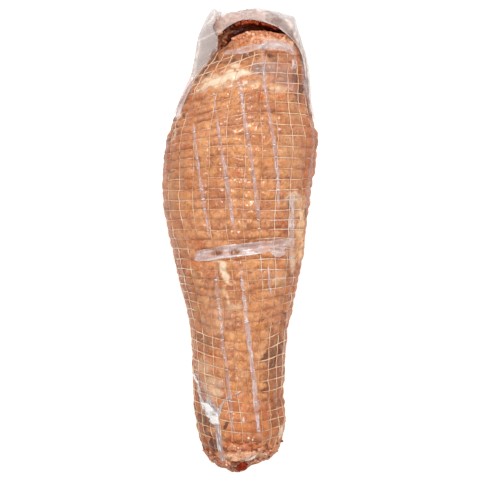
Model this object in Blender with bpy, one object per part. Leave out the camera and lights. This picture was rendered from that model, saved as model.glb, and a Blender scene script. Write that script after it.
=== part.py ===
"""A boneless pork loin roast in elastic netting and clear film, lying down.

The roast lies along Y, thick end towards +Y, with its flattened underside on Z = 0.
Two solids: the netted roast, whose skin bulges through the meshes of the net and whose
thick end has a hollow behind a standing flap, and the loose end of the film, which stands
round that thick end as a hood. Sizes are in millimetres until a mesh is made.
"""

import bmesh
import bpy
import numpy as np

MM = 0.001

# Along the roast: y, left edge, right edge, underside before it settles, top.
# The underside sinks below the table and is then pressed flat against it.
STATIONS = (
    (-232.0, -2.0, -2.0, 30.0, 30.0),
    (-231.0, -9.0, 5.0, 20.0, 40.0),
    (-228.0, -17.0, 10.0, 10.0, 50.0),
    (-222.0, -27.0, 23.0, 2.0, 58.0),
    (-215.0, -34.0, 34.0, -4.0, 64.0),
    (-205.0, -38.0, 39.5, -7.0, 69.0),
    (-188.0, -43.0, 44.0, -8.0, 73.0),
    (-160.0, -47.0, 43.5, -9.0, 76.0),
    (-100.0, -49.0, 46.0, -9.0, 82.0),
    (-70.0, -53.0, 51.0, -9.0, 86.0),
    (-40.0, -60.5, 57.0, -10.0, 91.0),
    (-10.0, -67.0, 63.0, -10.0, 96.0),
    (20.0, -74.0, 67.0, -11.0, 101.0),
    (50.0, -77.5, 71.0, -11.0, 104.0),
    (80.0, -76.0, 75.5, -11.0, 105.0),
    (100.0, -73.0, 77.2, -11.0, 104.0),
    (120.0, -66.0, 73.0, -11.0, 101.0),
    (140.0, -58.0, 69.0, -10.0, 97.0),
    (155.0, -50.0, 68.0, -9.0, 93.0),
    (170.0, -39.0, 67.0, -8.0, 89.0),
    (185.0, -28.0, 64.0, -7.0, 85.0),
    (200.0, -23.0, 56.5, -5.0, 81.0),
    (212.0, -25.0, 48.5, -2.0, 76.0),
    (220.0, -22.0, 41.0, 4.0, 70.0),
    (225.0, -14.0, 34.0, 12.0, 62.0),
    (228.0, -3.0, 26.0, 24.0, 52.0),
    (229.0, 11.0, 11.0, 38.0, 38.0),
)

# The net: lengthwise threads all round, rows of cross threads, and how far the meat
# stands out of a mesh above the thread and how far the thread sinks below the mean skin.
THREADS_ROUND = 24
ROW_PITCH = 10.2
MESH_BULGE = 1.0
THREAD_SINK = 1.2
THREAD_PHASE = 0.45
THREAD_TWIST = -0.0032
NET_ENDS_AT = 192.0
NET_FADE = 10.0
SAMPLES_ROUND = 2 * THREADS_ROUND
END_RINGS = (0.8, 2.4)
SETTLE = 1.5
LIE_FLAT_SAMPLES = 720

# The crease across the middle, which the film bridges.
CREASE_Y, CREASE_SLOPE, CREASE_DEPTH, CREASE_WIDTH = -10.0, 0.147, 3.5, 6.0
CREASE_LEFT, CREASE_RIGHT, CREASE_FADE = -50.0, 52.0, 10.0

# Lumps of loose meat on the narrow end: x, y, radius and how far each stands out.
END_LUMPS = (
    (1.5, -230.0, 7.0, 3.5),
    (-6.0, -216.0, 7.0, 2.5),
    (11.0, -214.0, 7.0, 3.0),
    (24.0, -216.0, 8.0, 3.0),
    (2.0, -204.0, 6.0, 2.0),
    (20.0, -203.0, 6.0, 2.0),
    (-22.0, -219.0, 7.0, 2.0),
)
LUMPS_FACE_ABOVE = -0.2

# The hollow behind the flap, seen from above: far side, near side, and its open left end.
HOLLOW_FAR = ((-23.0, 206.0), (-15.0, 212.5), (-4.0, 218.5), (10.0, 221.0), (22.0, 219.5), (35.0, 213.5), (48.0, 204.5))
HOLLOW_NEAR = ((35.0, 206.5), (22.0, 209.0), (10.0, 209.0), (-3.0, 205.5), (-12.0, 197.5), (-24.0, 189.0))
HOLLOW_OPEN = ((-42.0, 187.0), (-42.0, 204.0))
HOLLOW_FLOOR, HOLLOW_WALL, HOLLOW_TOP = 26.0, 52.0, 120.0
HOLLOW_FLOOR_SCALE = 0.72

# The film hood, from its left foot round the thick end to its right foot. Each row is where
# the hood's inner edge lies seen from above, then where its outer border lies.
HOOD = (
    ((-57.0, 134.0), (-65.5, 121.0)),
    ((-45.0, 155.0), (-57.0, 143.0)),
    ((-32.0, 175.0), (-49.0, 166.0)),
    ((-22.0, 192.0), (-45.0, 187.0)),
    ((-21.0, 205.0), (-42.5, 202.0)),
    ((-14.5, 212.5), (-35.0, 218.0)),
    ((-5.0, 218.0), (-26.0, 231.0)),
    ((4.0, 220.3), (-13.0, 226.5)),
    ((11.0, 221.0), (0.0, 229.8)),
    ((21.0, 219.7), (17.0, 231.4)),
    ((31.0, 216.0), (35.0, 230.0)),
    ((41.0, 209.8), (53.0, 225.0)),
    ((48.0, 204.0), (58.5, 211.0)),
    ((55.0, 194.0), (63.0, 197.0)),
    ((60.0, 183.0), (67.0, 181.0)),
    ((63.0, 166.0), (70.0, 161.0)),
    ((64.5, 145.0), (71.5, 140.0)),
    ((68.0, 127.0), (75.5, 120.0)),
)
HOOD_STEPS = 40
HOOD_UPPER_STEPS, HOOD_LOWER_STEPS = 6, 5
HOOD_FILM = 0.8
HOOD_GAP = 1.4
HOOD_END_FROM, HOOD_END_TO = 195.0, 215.0
HOOD_BORDER_HEIGHT = 41.0
HOOD_LEAST_RISE = 4.0
HOOD_LOWEST = 4.0

MATERIALS = {
    "netted_roast": ((0.62, 0.27, 0.11), 0.45),
    "film_hood": ((0.80, 0.76, 0.76), 0.25),
}


def curve_slopes(along, values):
    """Slopes of a curve through the values that overshoots nowhere."""
    steps = np.diff(along)
    rises = np.diff(values) / steps
    slopes = np.zeros(len(values))
    slopes[0], slopes[-1] = rises[0], rises[-1]
    same_way = rises[:-1] * rises[1:] > 0
    before, after = rises[:-1][same_way], rises[1:][same_way]
    slopes[1:-1][same_way] = 2 * before * after / (before + after)
    return slopes


def curve_at(where, along, values):
    """A smooth curve through (along, values), read at each place in where."""
    where = np.clip(where, along[0], along[-1])
    slopes = curve_slopes(along, values)
    left = np.clip(np.searchsorted(along, where, side="right") - 1, 0, len(along) - 2)
    span = along[left + 1] - along[left]
    t = (where - along[left]) / span
    return (
        (2 * t**3 - 3 * t**2 + 1) * values[left]
        + (t**3 - 2 * t**2 + t) * span * slopes[left]
        + (3 * t**2 - 2 * t**3) * values[left + 1]
        + (t**3 - t**2) * span * slopes[left + 1]
    )


class Outline:
    """The roast's smooth outline, read by the distance along its skin from the narrow tip."""

    def __init__(self):
        table = np.array(STATIONS)
        self.y, self.left, self.right, self.low, self.top = table.T
        half = (self.right - self.left) / 2
        steps = np.hypot(np.diff(self.y), np.diff(half))
        self.along = np.concatenate([[0.0], np.cumsum(steps)])
        self.length = self.along[-1]

    def at(self, distance):
        """y, middle x, half width, middle z and half height at a distance along the skin."""
        y, left, right, low, top = (
            curve_at(distance, self.along, column)
            for column in (self.y, self.left, self.right, self.low, self.top)
        )
        return y, (left + right) / 2, (right - left) / 2, (low + top) / 2, (top - low) / 2

    def distance_of(self, y):
        """The distance along the skin at which the roast reaches y."""
        samples = np.linspace(0.0, self.length, LIE_FLAT_SAMPLES)
        return np.interp(y, self.at(samples)[0], samples)


def evenly_round(share, half_width, half_height):
    """The angle from the top, clockwise, at which each share of an ellipse's rim is passed."""
    angle = np.linspace(-np.pi, np.pi, LIE_FLAT_SAMPLES)
    speed = np.hypot(half_width * np.cos(angle), half_height * np.sin(angle))
    run = np.concatenate([[0.0], np.cumsum((speed[1:] + speed[:-1]) / 2)])
    return np.interp(share, run / run[-1] - 0.5, angle)


def smooth_step(low, high, value):
    """0 below low, 1 above high and a smooth rise between them."""
    t = np.clip((value - low) / (high - low), 0.0, 1.0)
    return t * t * (3 - 2 * t)


def crease(x, y):
    """How far the skin dips into the crease across the middle."""
    off = (y - CREASE_Y - CREASE_SLOPE * x) / CREASE_WIDTH
    sides = smooth_step(CREASE_LEFT, CREASE_LEFT + CREASE_FADE, x)
    sides *= 1 - smooth_step(CREASE_RIGHT - CREASE_FADE, CREASE_RIGHT, x)
    return CREASE_DEPTH * np.exp(-off * off) * sides


def end_lumps(x, y, up):
    """How far the skin stands out over the lumps of the narrow end."""
    out = np.zeros_like(x)
    for lump_x, lump_y, radius, height in END_LUMPS:
        off = ((x - lump_x) ** 2 + (y - lump_y) ** 2) / radius**2
        out = np.maximum(out, height * np.exp(-off))
    return out * (up > LUMPS_FACE_ABOVE)


def relief(row, column, y):
    """How far the skin stands out of its mean line: bulging in each mesh, sunk at each thread."""
    swell = np.abs(np.sin(np.pi * row) * np.sin(np.pi * column))
    netted = 1 - smooth_step(NET_ENDS_AT - NET_FADE, NET_ENDS_AT + NET_FADE, y)
    return netted * ((MESH_BULGE + THREAD_SINK) * swell - THREAD_SINK)


def settle(z):
    """Presses what would be under the table flat against it, with a soft bend at the edge."""
    bend = (z + SETTLE) ** 2 / (4 * SETTLE)
    return np.where(z <= -SETTLE, 0.0, np.where(z >= SETTLE, z, bend))


def ring(outline, distance):
    """The points of the skin round the roast at one distance along it."""
    y, middle_x, half_width, middle_z, half_height = outline.at(np.array(distance))
    share = np.arange(SAMPLES_ROUND) / SAMPLES_ROUND - 0.5
    phase = THREAD_PHASE + THREAD_TWIST * y
    share = share + phase / THREADS_ROUND
    angle = evenly_round((share + 0.5) % 1.0 - 0.5, half_width, half_height)
    across, up = np.sin(angle), np.cos(angle)
    x = middle_x + half_width * across
    column = THREADS_ROUND * (share - phase / THREADS_ROUND)
    facing = up > 0
    out = relief(distance / ROW_PITCH, column, y) - crease(x, y) * facing + end_lumps(x, y, up)
    normal = np.stack([across * half_height, up * half_width])
    normal = normal / np.maximum(np.hypot(*normal), 1e-9)
    reach = min(1.0, half_width / 10.0)
    x = x + out * normal[0] * reach
    z = settle(middle_z + half_height * up + out * normal[1] * reach)
    return np.stack([x, np.full_like(x, y), z], axis=1)


def mesh_object(name, points, faces):
    """An object from points in millimetres, with its faces turned outwards and its material set."""
    mesh = bpy.data.meshes.new(name)
    mesh.from_pydata([tuple(p) for p in np.asarray(points) * MM], [], faces)
    shaped = bmesh.new()
    shaped.from_mesh(mesh)
    bmesh.ops.recalc_face_normals(shaped, faces=shaped.faces)
    shaped.to_mesh(mesh)
    shaped.free()
    thing = bpy.data.objects.new(name, mesh)
    bpy.context.scene.collection.objects.link(thing)
    return thing


def strip_faces(rings, columns, closed):
    """Quads between neighbouring rings of points, each ring closed on itself or open."""
    last = columns if closed else columns - 1
    return [
        (r * columns + c, r * columns + (c + 1) % columns, (r + 1) * columns + (c + 1) % columns, (r + 1) * columns + c)
        for r in range(rings - 1)
        for c in range(last)
    ]


def make_roast(outline):
    """The netted roast as one closed skin, before the hollow is cut."""
    rows = np.arange(1, int(2 * outline.length / ROW_PITCH)) * ROW_PITCH / 2
    caps = np.array(END_RINGS)
    distances = np.concatenate([caps, rows, outline.length - caps[::-1]])
    points = np.concatenate([ring(outline, d) for d in distances])
    faces = strip_faces(len(distances), SAMPLES_ROUND, closed=True)
    first_tip, last_tip = len(points), len(points) + 1
    tips = [(row[0], (row[1] + row[2]) / 2, (row[3] + row[4]) / 2) for row in (STATIONS[0], STATIONS[-1])]
    points = np.concatenate([points, [(x, y, z) for y, x, z in tips]])
    end = (len(distances) - 1) * SAMPLES_ROUND
    for c in range(SAMPLES_ROUND):
        after = (c + 1) % SAMPLES_ROUND
        faces.append((first_tip, after, c))
        faces.append((last_tip, end + c, end + after))
    return mesh_object("netted_roast", points, faces)


def make_hollow_cutter():
    """The space behind the flap, as a tapering plug that reaches above the roast."""
    plan = np.array(HOLLOW_FAR + HOLLOW_NEAR + HOLLOW_OPEN)
    middle = plan.mean(axis=0)
    levels = ((HOLLOW_FLOOR, HOLLOW_FLOOR_SCALE), (HOLLOW_WALL, 1.0), (HOLLOW_TOP, 1.0))
    points = [
        (*(middle + (corner - middle) * scale), height)
        for height, scale in levels
        for corner in plan
    ]
    faces = strip_faces(len(levels), len(plan), closed=True)
    faces.append(tuple(range(len(plan))))
    faces.append(tuple(range((len(levels) - 1) * len(plan), len(levels) * len(plan))))
    cutter = mesh_object("hollow_cutter", points, faces)
    cutter.hide_render = True
    cutter.display_type = "WIRE"
    return cutter


def cut_away(thing, cutter):
    """Cuts the cutter's shape out of a thing."""
    cut = thing.modifiers.new("hollow", "BOOLEAN")
    cut.operation = "DIFFERENCE"
    cut.solver = "EXACT"
    cut.object = cutter


def skin_heights(outline, x, y):
    """The roast's lower and upper skin under a point seen from above."""
    _, middle_x, half_width, middle_z, half_height = outline.at(outline.distance_of(y))
    off = np.clip((x - middle_x) / half_width, -1.0, 1.0)
    rise = half_height * np.sqrt(1 - off * off)
    return middle_z - rise, middle_z + rise


def clear_of_roast(outline, point):
    """The point itself, or where it comes out when it is pushed clear of the roast's skin."""
    x, y, z = point
    section_y = min(y - HOOD_GAP * smooth_step(HOOD_END_FROM, HOOD_END_TO, y), STATIONS[-1][0] - HOOD_FILM)
    if y - section_y > 2 * HOOD_GAP:
        return point
    _, middle_x, half_width, middle_z, half_height = outline.at(outline.distance_of(section_y))
    across, up = x - middle_x, z - middle_z
    gap = HOOD_GAP + MESH_BULGE
    inside = np.hypot(across / (half_width + gap), up / (half_height + gap))
    if inside >= 1.0:
        return point
    return (middle_x + across / inside, y, middle_z + up / inside)


def hood_path():
    """The hood's inner edge and outer border, resampled evenly along the border."""
    table = np.array(HOOD)
    steps = np.linalg.norm(np.diff(table[:, 1], axis=0), axis=1)
    along = np.concatenate([[0.0], np.cumsum(steps)])
    where = np.linspace(0.0, along[-1], HOOD_STEPS)
    return tuple(
        np.stack([curve_at(where, along, table[:, edge, axis]) for axis in (0, 1)], axis=1)
        for edge in (0, 1)
    )


def make_hood(outline):
    """The film hood: from its inner edge out to its border and back in under the thick end."""
    inner, border = hood_path()
    upper = np.linspace(0.0, np.pi / 2, HOOD_UPPER_STEPS + 1)
    lower = np.linspace(np.pi / 2, 0.0, HOOD_LOWER_STEPS + 1)[1:]
    points = []
    for edge, rim in zip(inner, border):
        skin_low, skin_top = skin_heights(outline, *edge)
        top = max(skin_top + HOOD_GAP, HOOD_BORDER_HEIGHT + HOOD_LEAST_RISE)
        low = max(min(skin_low - HOOD_GAP, HOOD_BORDER_HEIGHT - HOOD_LEAST_RISE), HOOD_LOWEST)
        for side, turns in ((top, upper), (low, lower)):
            for turn in turns:
                plan = edge + (rim - edge) * np.sin(turn)
                height = HOOD_BORDER_HEIGHT + (side - HOOD_BORDER_HEIGHT) * np.cos(turn)
                points.append(clear_of_roast(outline, (*plan, height)))
    columns = HOOD_UPPER_STEPS + HOOD_LOWER_STEPS + 1
    hood = mesh_object("film_hood", points, strip_faces(HOOD_STEPS, columns, closed=False))
    thicken = hood.modifiers.new("film", "SOLIDIFY")
    thicken.thickness = HOOD_FILM * MM
    thicken.offset = 1.0
    return hood


def finish(thing):
    """Gives a thing its plain material."""
    colour, roughness = MATERIALS[thing.name]
    material = bpy.data.materials.new(thing.name)
    material.use_nodes = True
    shader = material.node_tree.nodes["Principled BSDF"]
    shader.inputs["Base Color"].default_value = (*colour, 1.0)
    shader.inputs["Roughness"].default_value = roughness
    shader.inputs["Metallic"].default_value = 0.0
    thing.data.materials.append(material)


def main():
    """Builds the roast and the hood."""
    for thing in list(bpy.data.objects):
        bpy.data.objects.remove(thing)
    outline = Outline()
    roast = make_roast(outline)
    cut_away(roast, make_hollow_cutter())
    hood = make_hood(outline)
    for thing in (roast, hood):
        finish(thing)


main()
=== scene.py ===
"""Looks of a smoked boneless pork loin roast in elastic netting and clear film, lying down.

The roast lies along Y, thick end towards +Y. Its pieces are shaped in millimetres and become
meshes in metres. Places that show from above are given by their place in a picture of
480 by 480 that looks straight down, where one picture unit is one millimetre.
"""

import logging
from dataclasses import dataclass
from enum import Enum

import bmesh
import bpy
import numpy as np
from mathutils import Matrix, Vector
from mathutils.bvhtree import BVHTree
from mathutils.kdtree import KDTree

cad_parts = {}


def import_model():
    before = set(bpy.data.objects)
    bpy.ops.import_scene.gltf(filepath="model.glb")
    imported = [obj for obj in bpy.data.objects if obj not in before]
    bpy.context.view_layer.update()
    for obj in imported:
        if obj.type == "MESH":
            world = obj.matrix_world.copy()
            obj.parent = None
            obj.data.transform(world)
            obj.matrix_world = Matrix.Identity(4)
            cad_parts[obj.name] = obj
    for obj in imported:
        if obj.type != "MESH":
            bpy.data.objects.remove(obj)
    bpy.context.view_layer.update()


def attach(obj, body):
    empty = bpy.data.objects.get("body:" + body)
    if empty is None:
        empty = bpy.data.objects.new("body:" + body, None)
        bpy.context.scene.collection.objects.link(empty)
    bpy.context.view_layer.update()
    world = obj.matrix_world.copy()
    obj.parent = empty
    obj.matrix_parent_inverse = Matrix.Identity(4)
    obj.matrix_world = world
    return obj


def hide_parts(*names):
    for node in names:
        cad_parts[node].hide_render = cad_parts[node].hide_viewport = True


LOG = logging.getLogger("pork_loin_roast")

MM = 0.001
PICTURE_SIDE = 480.0
PICTURE_MIDDLE = PICTURE_SIDE / 2
OUTLINE_HEIGHT = 45.0
CAMERA_HEIGHT = 3600.0
QUARTER_TURN = np.pi / 2
SCRAP_SEED = 3.0
SHORTEST = 1e-9

Array = np.ndarray
Colour = tuple[float, float, float]
Span = tuple[float, float]
Line = tuple[tuple[float, float], ...]
Size = float | tuple[float, float, float]
Socket = bpy.types.NodeSocket
Material = bpy.types.Material
Piece = bpy.types.Object

BLACK = (0.0, 0.0, 0.0)
WHITE = (1.0, 1.0, 1.0)
UP = (0.0, 0.0, 1.0)


class Slot(Enum):
    """Names of three material slots, which nothing here uses."""

    MEAT = "netted_meat"
    FILM = "clear_film"
    THREAD = "net_thread"


class Stain(Enum):
    """What a patch on the meat looks like; the dark patches are partly the meat's own colour and partly
    painted shade.
    """

    FAT = "fat"
    DARK = "dark"
    RUST = "rust"
    PALE = "pale"
    GOLD = "gold"


class Seed(Enum):
    """What the noise of each thing is drawn from."""

    LINES = 11
    MEAT = 5
    NET = 23
    FILM = 31
    KNOTS = 37
    HOOD = 41
    SCRAPS = 43


def smooth_step(low: float, high: float, value: Array) -> Array:
    """0 at low, 1 at high and a smooth rise or fall between them."""
    t = np.clip((value - low) / (high - low), 0.0, 1.0)
    return t * t * (3 - 2 * t)


def curve_at(where: Array, along: Array, values: Array) -> Array:
    """A smooth curve through points that overshoots nowhere.

    Args:
        where: The places to read.
        along: The places of the points, rising.
        values: The values at the points.

    Returns:
        The curve's value at each place in where.
    """
    steps = np.diff(along)
    rises = np.diff(values) / steps
    slopes = np.zeros(len(values))
    slopes[0], slopes[-1] = rises[0], rises[-1]
    same_way = rises[:-1] * rises[1:] > 0
    before, after = rises[:-1][same_way], rises[1:][same_way]
    slopes[1:-1][same_way] = 2 * before * after / (before + after)
    where = np.clip(where, along[0], along[-1])
    left = np.clip(np.searchsorted(along, where, side="right") - 1, 0, len(along) - 2)
    span = along[left + 1] - along[left]
    t = (where - along[left]) / span
    return (
        (2 * t**3 - 3 * t**2 + 1) * values[left]
        + (t**3 - 2 * t**2 + t) * span * slopes[left]
        + (3 * t**2 - 2 * t**3) * values[left + 1]
        + (t**3 - t**2) * span * slopes[left + 1]
    )


def running(steps: Array) -> Array:
    """The running total of some steps, from 0."""
    return np.concatenate([[0.0], np.cumsum(steps)])


def resample(points: Array, count: int) -> Array:
    """Points spread evenly along a smooth curve through the given ones.

    Args:
        points: Rows of coordinates, in order.
        count: How many points to return.

    Returns:
        An array of count rows.
    """
    points = np.asarray(points, dtype=float)
    steps = np.linalg.norm(np.diff(points, axis=0), axis=1)
    along = running(steps)
    where = np.linspace(0.0, along[-1], count)
    return np.stack([curve_at(where, along, column) for column in points.T], axis=1)


def path_length(points: Array) -> float:
    """The length of a path."""
    return float(np.linalg.norm(np.diff(np.asarray(points, dtype=float), axis=0), axis=1).sum())


def unit(vectors: Array) -> Array:
    """The vectors at length one."""
    return vectors / np.maximum(np.linalg.norm(vectors, axis=-1, keepdims=True), SHORTEST)


def blurred(values: Array, reach: float) -> Array:
    """The values smoothed along their rows, the ends held.

    Args:
        values: The values.
        reach: The spread of the smoothing, in steps.

    Returns:
        The smoothed values, in the same shape.
    """
    side = int(np.ceil(3 * reach))
    weights = np.exp(-0.5 * (np.arange(-side, side + 1) / reach) ** 2)
    weights /= weights.sum()
    padded = np.pad(values, [(side, side), (0, 0)], mode="edge")
    return sum(w * padded[i : i + len(values)] for i, w in enumerate(weights))


class Grain:
    """Seeded smooth noise over space."""

    SIDE = 32
    START = 7.31
    LAYER_SHIFT = 3.7
    LAYER_FADE = 1.7
    CELL_STEPS = (3, 5)

    def __init__(self, seed: Seed) -> None:
        """Draws the lattice of values."""
        self.values = np.random.default_rng(seed.value).uniform(-1.0, 1.0, (self.SIDE,) * 3)

    def at(self, points: Array, size: Size, shift: float = 0.0) -> Array:
        """Noise from -1 to 1 whose lumps have the given size.

        Args:
            points: Coordinates, in the last axis.
            size: The size of a lump, for all axes or for each.
            shift: How far off the noise is read, so that each use has a noise of its own.

        Returns:
            The noise at each point.
        """
        place = (np.asarray(points) + shift) / np.asarray(size, dtype=float) + self.START
        whole = np.floor(place).astype(int)
        part = place - whole
        part = part**3 * (part * (part * 6 - 15) + 10)
        total = 0.0
        for corner in np.ndindex(2, 2, 2):
            index = tuple((whole[..., axis] + corner[axis]) % self.SIDE for axis in range(3))
            weight = 1.0
            for axis in range(3):
                weight = weight * (part[..., axis] if corner[axis] else 1 - part[..., axis])
            total = total + weight * self.values[index]
        return total

    def layered(self, points: Array, size: Size, layers: int = 3, shift: float = 0.0) -> Array:
        """Noise with finer and weaker layers on it.

        Args:
            points: Coordinates, in the last axis.
            size: The size of a lump in the first layer.
            layers: How many layers there are, each with lumps half as large as the last.
            shift: How far off the noise is read.

        Returns:
            The noise at each point.
        """
        total = 0.0
        for n in range(layers):
            finer = np.asarray(size) / 2**n
            layer = self.at(points + shift + self.LAYER_SHIFT * n, finer)
            total = total + layer / self.LAYER_FADE**n
        return total

    def cell(self, row: Array, column: Array, shift: Span = (0, 0)) -> Array:
        """One value from -1 to 1 for each mesh of the net.

        Args:
            row: The rows of places on the net.
            column: Their columns.
            shift: How far off the values are read, in rows and columns.

        Returns:
            The value at each place.
        """
        r = np.floor(row + shift[0]).astype(int) % self.SIDE
        c = np.floor(column + shift[1]).astype(int) % self.SIDE
        depth = self.CELL_STEPS[0] * r + self.CELL_STEPS[1] * c
        return self.values[r, c, depth % self.SIDE]


@dataclass(frozen=True)
class Spots:
    """Soft spots in the noise: their size, and the noise at which they start and are full."""

    size: Size
    start: float
    full: float
    layers: int = 3
    shift: float = 0.0

    def on(self, grain: Grain, points: Array) -> Array:
        """How strongly the spots show at each point, from 0 to 1."""
        noise = grain.layered(points, self.size, self.layers, self.shift)
        return smooth_step(self.start, self.full, noise)


@dataclass(frozen=True)
class Varied:
    """A number that noise varies: its middle, its spread, the size of the noise and its limits."""

    middle: float
    spread: float
    size: Size
    low: float = -np.inf
    high: float = np.inf
    layers: int = 3
    shift: float = 0.0

    def over(self, grain: Grain, points: Array) -> Array:
        """The number at each point."""
        noise = grain.layered(points, self.size, self.layers, self.shift)
        return np.clip(self.middle + self.spread * noise, self.low, self.high)


def height_scale(z: Array | float) -> Array | float:
    """How many millimetres one picture unit spans at a height."""
    return (CAMERA_HEIGHT - z) / (CAMERA_HEIGHT - OUTLINE_HEIGHT)


def to_picture(points: Array) -> tuple[Array, Array]:
    """The place in the picture of points in space."""
    scale = height_scale(points[..., 2])
    return PICTURE_MIDDLE + points[..., 0] / scale, PICTURE_MIDDLE - points[..., 1] / scale


def from_picture(x: Array, y: Array, z: Array | float) -> Array:
    """The points in space at a place in the picture and a height.

    Args:
        x: The places across the picture.
        y: The places down the picture.
        z: The heights.

    Returns:
        The points, in the last axis.
    """
    scale = height_scale(z)
    x, y = np.asarray(x, dtype=float), np.asarray(y, dtype=float)
    place = ((x - PICTURE_MIDDLE) * scale, (PICTURE_MIDDLE - y) * scale, z)
    return np.stack(np.broadcast_arrays(*place), axis=-1)


def opaque(value: object) -> object:
    """The value, with its alpha where it is a colour."""
    return (*value, 1.0) if isinstance(value, tuple) else value


def new_object(name: str, data: bpy.types.ID) -> Piece:
    """Puts a mesh, a lamp or a camera in the scene.

    Args:
        name: The object's name.
        data: The mesh, lamp or camera.

    Returns:
        The object.
    """
    piece = bpy.data.objects.new(name, data)
    bpy.context.scene.collection.objects.link(piece)
    return piece


def new_mesh(name: str, points: Array, faces: list, finish: Material,
             marks: dict[str, Array] | None = None, smooth: bool = True) -> Piece:
    """An object from points in millimetres.

    Args:
        name: The piece's name.
        points: Rows of x, y and z.
        faces: Tuples of point numbers.
        finish: The piece's material.
        marks: Numbers that the finish reads, one for each point, by their name.
        smooth: Whether its faces are shaded smooth.

    Returns:
        The object, in the scene.
    """
    mesh = bpy.data.meshes.new(name)
    mesh.from_pydata((np.asarray(points) * MM).tolist(), [], faces)
    mesh.validate()
    if smooth:
        mesh.shade_smooth()
    for label, values in (marks or {}).items():
        layer = mesh.attributes.new(label, "FLOAT", "POINT")
        layer.data.foreach_set("value", np.asarray(values, dtype=np.float32))
    mesh.materials.append(finish)
    return new_object(name, mesh)


def grid_faces(rows: int, columns: int, ring: bool, start: int = 0, flip: bool = False) -> list:
    """Quads over rows of points.

    Args:
        rows: The number of rows.
        columns: The number of points in a row.
        ring: Whether each row closes on itself.
        start: The number of the first point.
        flip: Whether the faces point the other way.

    Returns:
        The faces.
    """
    across = columns if ring else columns - 1
    r, c = np.meshgrid(np.arange(rows - 1), np.arange(across), indexing="ij")
    near, far, after = r * columns, (r + 1) * columns, (c + 1) % columns
    quads = np.stack([near + c, near + after, far + after, far + c], -1).reshape(-1, 4) + start
    return (quads[:, ::-1] if flip else quads).tolist()


def capped_faces(rows: int, columns: int) -> list:
    """Faces over closed rows with a point for each end.

    Args:
        rows: The number of rows.
        columns: The number of points in a row.

    Returns:
        The faces, where the two end points come after those of the rows.
    """
    faces = grid_faces(rows, columns, ring=True)
    low, high, last = rows * columns, rows * columns + 1, (rows - 1) * columns
    for c in range(columns):
        after = (c + 1) % columns
        faces.append((low, after, c))
        faces.append((high, last + c, last + after))
    return faces


def closed_shell(sheet: Array, thickness: float) -> tuple[Array, list]:
    """The points and faces of a closed thin shell.

    Args:
        sheet: Points in rows and columns.
        thickness: The shell's thickness.

    Returns:
        The points of one side and then of the other, and the faces.
    """
    rows, columns = sheet.shape[:2]
    out = unit(np.cross(np.gradient(sheet, axis=1), np.gradient(sheet, axis=0)))
    sides = [(sheet + side * out * thickness / 2).reshape(-1, 3) for side in (1, -1)]
    count = rows * columns
    faces = grid_faces(rows, columns, ring=False, flip=True)
    faces += grid_faces(rows, columns, ring=False, start=count)
    index = np.arange(count).reshape(rows, columns)
    rim = np.concatenate([index[0, :-1], index[:-1, -1], index[-1, :0:-1], index[:0:-1, 0]])
    after = np.roll(rim, -1)
    faces += np.stack([rim, after, after + count, rim + count], -1).tolist()
    return np.concatenate(sides), faces


def tube(place: Array, out: Array, radius: Array, closed: bool, sides: int = 6) -> tuple[Array, list]:
    """The points and faces of a tube along a path.

    Args:
        place: The path's points.
        out: The outward direction at each point.
        radius: The tube's radius at each point.
        closed: Whether the path returns to its start.
        sides: The number of points round the tube.

    Returns:
        The points and the faces.
    """
    if closed:
        ahead = unit(np.roll(place, -1, axis=0) - np.roll(place, 1, axis=0))
    else:
        ahead = unit(np.gradient(place, axis=0))
    side = unit(np.cross(ahead, out))
    up = np.cross(side, ahead)
    turns = np.arange(sides) * 2 * np.pi / sides
    turns = turns[None, :, None]
    circle = np.cos(turns) * up[:, None] + np.sin(turns) * side[:, None]
    points = place[:, None] + circle * np.asarray(radius).reshape(-1, 1, 1)
    faces = grid_faces(len(place), sides, ring=True)
    last = (len(place) - 1) * sides
    if closed:
        faces += [(last + s, last + (s + 1) % sides, (s + 1) % sides, s) for s in range(sides)]
    else:
        faces.append(tuple(range(sides))[::-1])
        faces.append(tuple(last + s for s in range(sides)))
    return points.reshape(-1, 3), faces


def joined(bodies: list[tuple[Array, list]]) -> tuple[Array, list]:
    """The points and faces of several bodies as those of one.

    Args:
        bodies: Each body's points and faces.

    Returns:
        All points and all faces.
    """
    faces, start = [], 0
    for points, own_faces in bodies:
        faces += [tuple(corner + start for corner in face) for face in own_faces]
        start += len(points)
    return np.concatenate([points for points, _ in bodies]), faces


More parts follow.
